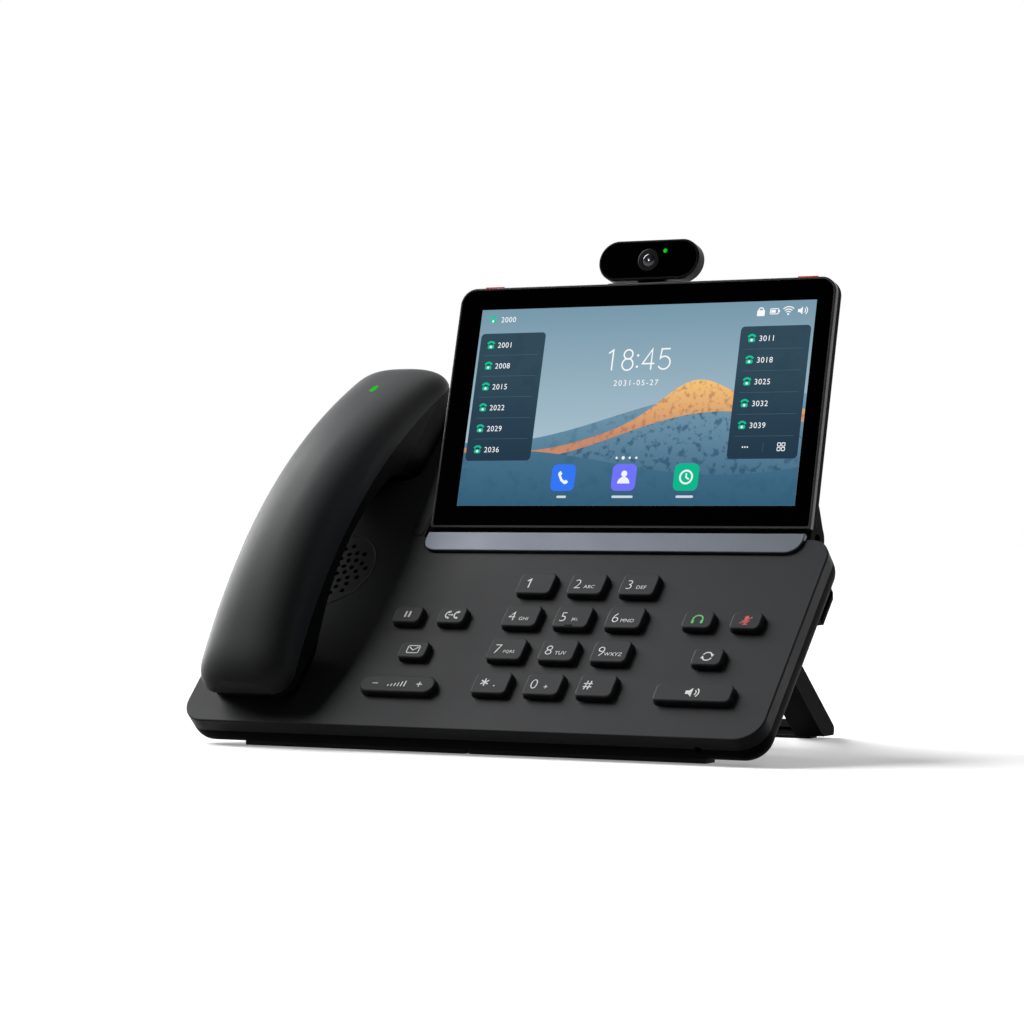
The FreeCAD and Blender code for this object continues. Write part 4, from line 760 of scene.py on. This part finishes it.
def app_icons():
    """Three tiles with a receiver, a person and a clock face, and a plain bar below each."""
    glyphs, labels = Sheet(), Sheet()
    for name, x, colour, label_x, label_width in APPS:
        tile = Sheet(FILM).plate(round_box(x, APP_LEVEL, 11.0, 11.4, 2.4))
        show(tile, "app_" + name, 6, lit("screen_app_" + name, colour, colour))
        labels.plate(round_box(label_x, LABEL_LEVEL, label_width, 1.0, 0.45))
    glyphs.plate(moved(HANDPIECE, DIAL_X, APP_LEVEL, 1.55, -4))
    glyphs.disc(PEOPLE_X, APP_LEVEL + 1.5, 1.35)
    shoulder = APP_LEVEL - 2.6
    glyphs.plate([(PEOPLE_X - 2.8, shoulder)] + arc(PEOPLE_X, shoulder, 2.8, 0, 180))
    hands = [(RECENT_X, APP_LEVEL + 1.6), (RECENT_X, APP_LEVEL - 0.1), (RECENT_X + 1.3, APP_LEVEL - 0.9)]
    glyphs.ring(RECENT_X, APP_LEVEL, 2.7, 0.75)
    glyphs.line(hands, 0.65)
    show(glyphs, "app_glyphs", 7, SCREEN_WHITE)
    show(labels, "app_labels", 6, lit("screen_label_light", "#cfdbe2", "#dbe5ea"))


backdrop()
side_panels()
status_icons()
clock()
app_icons()


# Camera front

def turned_ring(name, profile, face, place, material, body, slot, steps=48):
    """A closed ring turned from a profile of (radius, height) points about a face's normal."""
    sheet = Sheet()
    rows = []
    for step in range(steps):
        turn = math.tau * step / steps
        rows.append([sheet.mesh.verts.new((r * MM * math.cos(turn), r * MM * math.sin(turn), h * MM))
                     for r, h in profile])
    for i, here in enumerate(rows):
        before = rows[i - 1]
        for k in range(len(profile)):
            sheet.mesh.faces.new((before[k - 1], here[k - 1], here[k], before[k]))
    item = sheet.piece(name, face, place, material, body, slot)
    for polygon in item.data.polygons:
        polygon.use_smooth = True


LENS_LOW, LENS_HIGH = measured("camera_lens", GLASS_FACE)
LENS_PLACE = ((LENS_LOW.x + LENS_HIGH.x) / 2, (LENS_LOW.y + LENS_HIGH.y) / 2, LENS_HIGH.z)
FUNNEL = [(4.7, 0.02), (4.75, 0.42), (4.45, 0.5), (3.3, 0.22), (3.1, 0.3), (2.75, 0.05)]
DOME = [(2.75, 0.05), (2.6, 0.18), (2.0, 0.34), (1.2, 0.45), (0.02, 0.5), (0.02, 0.02), (2.7, 0.02)]


def coated_lens(name):
    """Front element: dark glass with a violet to green antireflective coating that shifts across the dome,
    lightened towards grey at grazing angles as a painted sheen.
    """
    material, tree, principled = shader(name, Roughness=0.06, Coat_Weight=0.6, Coat_Roughness=0.02)
    sight = add(tree, "ShaderNodeLayerWeight", {"Blend": 0.35})
    colour = add(tree, "ShaderNodeMix", {"Factor": (uneven(tree, 2.2), 0), "A": linear("#1b1930"),
                                         "B": linear("#1c2b33")}, data_type="RGBA")
    # painted sheen: the colour turns towards grey where the dome is seen at a grazing angle, standing in for
    # its reflection
    sheen = add(tree, "ShaderNodeMix", {"Factor": (sight, "Facing"), "B": linear("#5a5a66")},
                data_type="RGBA")
    tree.links.new(colour.outputs[2], sheen.inputs[6])
    tree.links.new(sheen.outputs[2], principled.inputs["Base Color"])
    return material


def camera_front():
    """A funnel of satin black plastic round the lens, which keeps light off it, and the front element."""
    barrel = moulded("satin_barrel_abs", "#0d0d0e", "#111112", 0.34, 0.5, 0.01, Specular_IOR_Level=0.18)
    turned_ring("lens_barrel", FUNNEL, GLASS_FACE, LENS_PLACE, barrel, "camera", "lens_glass")
    glass = coated_lens("coated_lens_glass")
    turned_ring("lens_element", DOME, GLASS_FACE, LENS_PLACE, glass, "camera", "lens_glass")


camera_front()


# Small openings

GRILLE_RIM = [(19.62, -0.02), (19.72, 0.1), (19.92, 0.1), (20.02, -0.02)]
PINHOLE_X = 103.7
PINHOLE_RISE = 4.5
PINHOLE_RADIUS = 1.2
BEVEL_RADIUS = 1.4
BEVEL_WIDTH = 0.4
PINHOLE_DEPTH = 0.02


def grille_rim():
    """The fine raised line round the speaker grille, in ABS painted paler than the casing as a painted
    highlight along its edge.
    """
    low, high = measured("speaker_grille", KEY_FACE)
    place = ((low.x + high.x) / 2, (low.y + high.y) / 2, high.z)
    # painted highlight: a paler tone than the casing for the light the raised line catches
    line = moulded("grille_rim_painted_highlight_abs", "#505152", "#565758", 0.4, 0.5, 0.01, Specular_IOR_Level=0.1)
    turned_ring("grille_rim", GRILLE_RIM, KEY_FACE, place, line, "base", "casing", 96)


def front_microphone():
    """The pinhole on the front wall, drawn as painted shade: a black disc for its unlit bottom, and a dark
    ring for the shade in the bevel round it.
    """
    low, high = measured("base_top_cover", FRONT_FACE)
    place = (PINHOLE_X, low.y + PINHOLE_RISE, high.z + LIFT)
    # painted shade: both are dark sheets on the wall where the hole's shade falls
    rim = moulded("pinhole_bevel_painted_shade_abs", "#0c0c0c", "#101010", 0.4, Specular_IOR_Level=0.02)
    hole = moulded("pinhole_painted_shade_abs", "#010101", "#020202", 0.9, Specular_IOR_Level=0.0)
    bevel = Sheet(PINHOLE_DEPTH).ring(0, 0, BEVEL_RADIUS, BEVEL_WIDTH)
    bevel.piece("front_pinhole_rim", FRONT_FACE, place, rim, "base", "casing")
    bottom = Sheet(PINHOLE_DEPTH).disc(0, 0, PINHOLE_RADIUS)
    bottom.piece("front_pinhole", FRONT_FACE, place, hole, "base", "casing")


grille_rim()
front_microphone()


# Studio

def background_rays(tree):
    """Share of a ray that sees the background: straight on, through glass or in a reflection."""
    rays = add(tree, "ShaderNodeLightPath", {})
    seen = add(tree, "ShaderNodeMath", {0: (rays, "Is Camera Ray"), 1: (rays, "Is Transmission Ray")},
               operation="MAXIMUM")
    return add(tree, "ShaderNodeMath", {0: (seen, "Value"), 1: (rays, "Is Glossy Ray")}, operation="MAXIMUM")


FLOOR_REACH = 6.0
FLOOR_GLOW = 0.3
FLOOR_TONE = "#eeeeee"
RETURNED_TONE = "#2c2c2c"


def floor():
    """A pale sheet that runs on as the backdrop: white where seen, a dim grey to the light it returns."""
    mesh = bpy.data.meshes.new("floor")
    corners = [(x * FLOOR_REACH, y * FLOOR_REACH, 0) for x, y in ((-1, -1), (1, -1), (1, 1), (-1, 1))]
    mesh.from_pydata(corners, [], [(0, 1, 2, 3)])
    piece = bpy.data.objects.new("floor", mesh)
    bpy.context.collection.objects.link(piece)
    material, tree, principled = shader("matt_paper_sweep", Roughness=0.9, Specular_IOR_Level=0.0)
    seen = background_rays(tree)
    colour = add(tree, "ShaderNodeMix", {"Factor": (seen, "Value"), "A": linear(RETURNED_TONE),
                                         "B": linear(FLOOR_TONE)}, data_type="RGBA")
    tree.links.new(colour.outputs[2], principled.inputs["Base Color"])
    glow = add(tree, "ShaderNodeMapRange", {"Value": (seen, "Value"), "To Max": FLOOR_GLOW})
    tree.links.new(glow.outputs["Result"], principled.inputs["Emission Strength"])
    principled.inputs["Emission Color"].default_value = linear("#ffffff")
    piece.data.materials.append(material)


def sun(name, source, spread_degrees, strength):
    """Even light from one side, as soft as a wide diffuser makes it."""
    lamp = bpy.data.lights.new(name, "SUN")
    lamp.angle = math.radians(spread_degrees)
    lamp.energy = strength
    piece = bpy.data.objects.new(name, lamp)
    piece.matrix_world = (-Vector(source)).to_track_quat("-Z", "Y").to_matrix().to_4x4()
    bpy.context.collection.objects.link(piece)


FILL = 0.03
CEILING_TONE = "#484848"
CEILING_START = 0.2
CEILING_FULL = 0.55


def world():
    """A studio with a white sweep all round and a dimmer ceiling, and a lower even fill on the surfaces."""
    studio = bpy.data.worlds.new("studio")
    bpy.context.scene.world = studio
    studio.use_nodes = True
    tree = studio.node_tree
    background = tree.nodes["Background"]
    level = add(tree, "ShaderNodeMapRange", {"Value": (background_rays(tree), "Value"), "To Min": FILL})
    tree.links.new(level.outputs["Result"], background.inputs["Strength"])
    heading = add(tree, "ShaderNodeTexCoord", {})
    axes = add(tree, "ShaderNodeSeparateXYZ", {"Vector": (heading, "Generated")})
    height = add(tree, "ShaderNodeMapRange", {"Value": (axes, "Z"), "From Min": CEILING_START,
                                              "From Max": CEILING_FULL}, interpolation_type="SMOOTHSTEP")
    sweep = add(tree, "ShaderNodeMix", {"Factor": (height, "Result"), "A": linear("#ffffff"),
                                        "B": linear(CEILING_TONE)}, data_type="RGBA")
    tree.links.new(sweep.outputs[2], background.inputs["Color"])


CAMERA_AZIMUTH = math.radians(28.79)
CAMERA_DROP = math.radians(0.13)
FOCAL_PIXELS = 3320.85
SENSOR_WIDTH = 36.0
CLIP_END = 20
FRONT_EDGE_Y = -79.9
CAMERA_PLACE = (645.48, -1127.22 + FRONT_EDGE_Y, 98.28)


def camera():
    """The photograph's viewpoint, solved from the object's straight edges."""
    data = bpy.data.cameras.new("photo_camera")
    data.sensor_width = SENSOR_WIDTH
    data.lens = FOCAL_PIXELS / IMAGE_SIZE * SENSOR_WIDTH
    data.clip_end = CLIP_END
    piece = bpy.data.objects.new("photo_camera", data)
    turn = Matrix.Rotation(CAMERA_AZIMUTH, 4, "Z") @ Matrix.Rotation(math.pi / 2 - CAMERA_DROP, 4, "X")
    piece.matrix_world = Matrix.Translation(Vector(CAMERA_PLACE) * MM) @ turn
    bpy.context.collection.objects.link(piece)
    bpy.context.scene.camera = piece


floor()
sun("key_light", (-0.74, 0.04, 0.67), 38, 4.1)
sun("back_light", (0.15, 0.60, 0.78), 60, 0.7)
sun("rim_light", (-0.95, 0.25, 0.20), 40, 2.4)
world()
camera()
bpy.context.scene.view_settings.view_transform = "Standard"
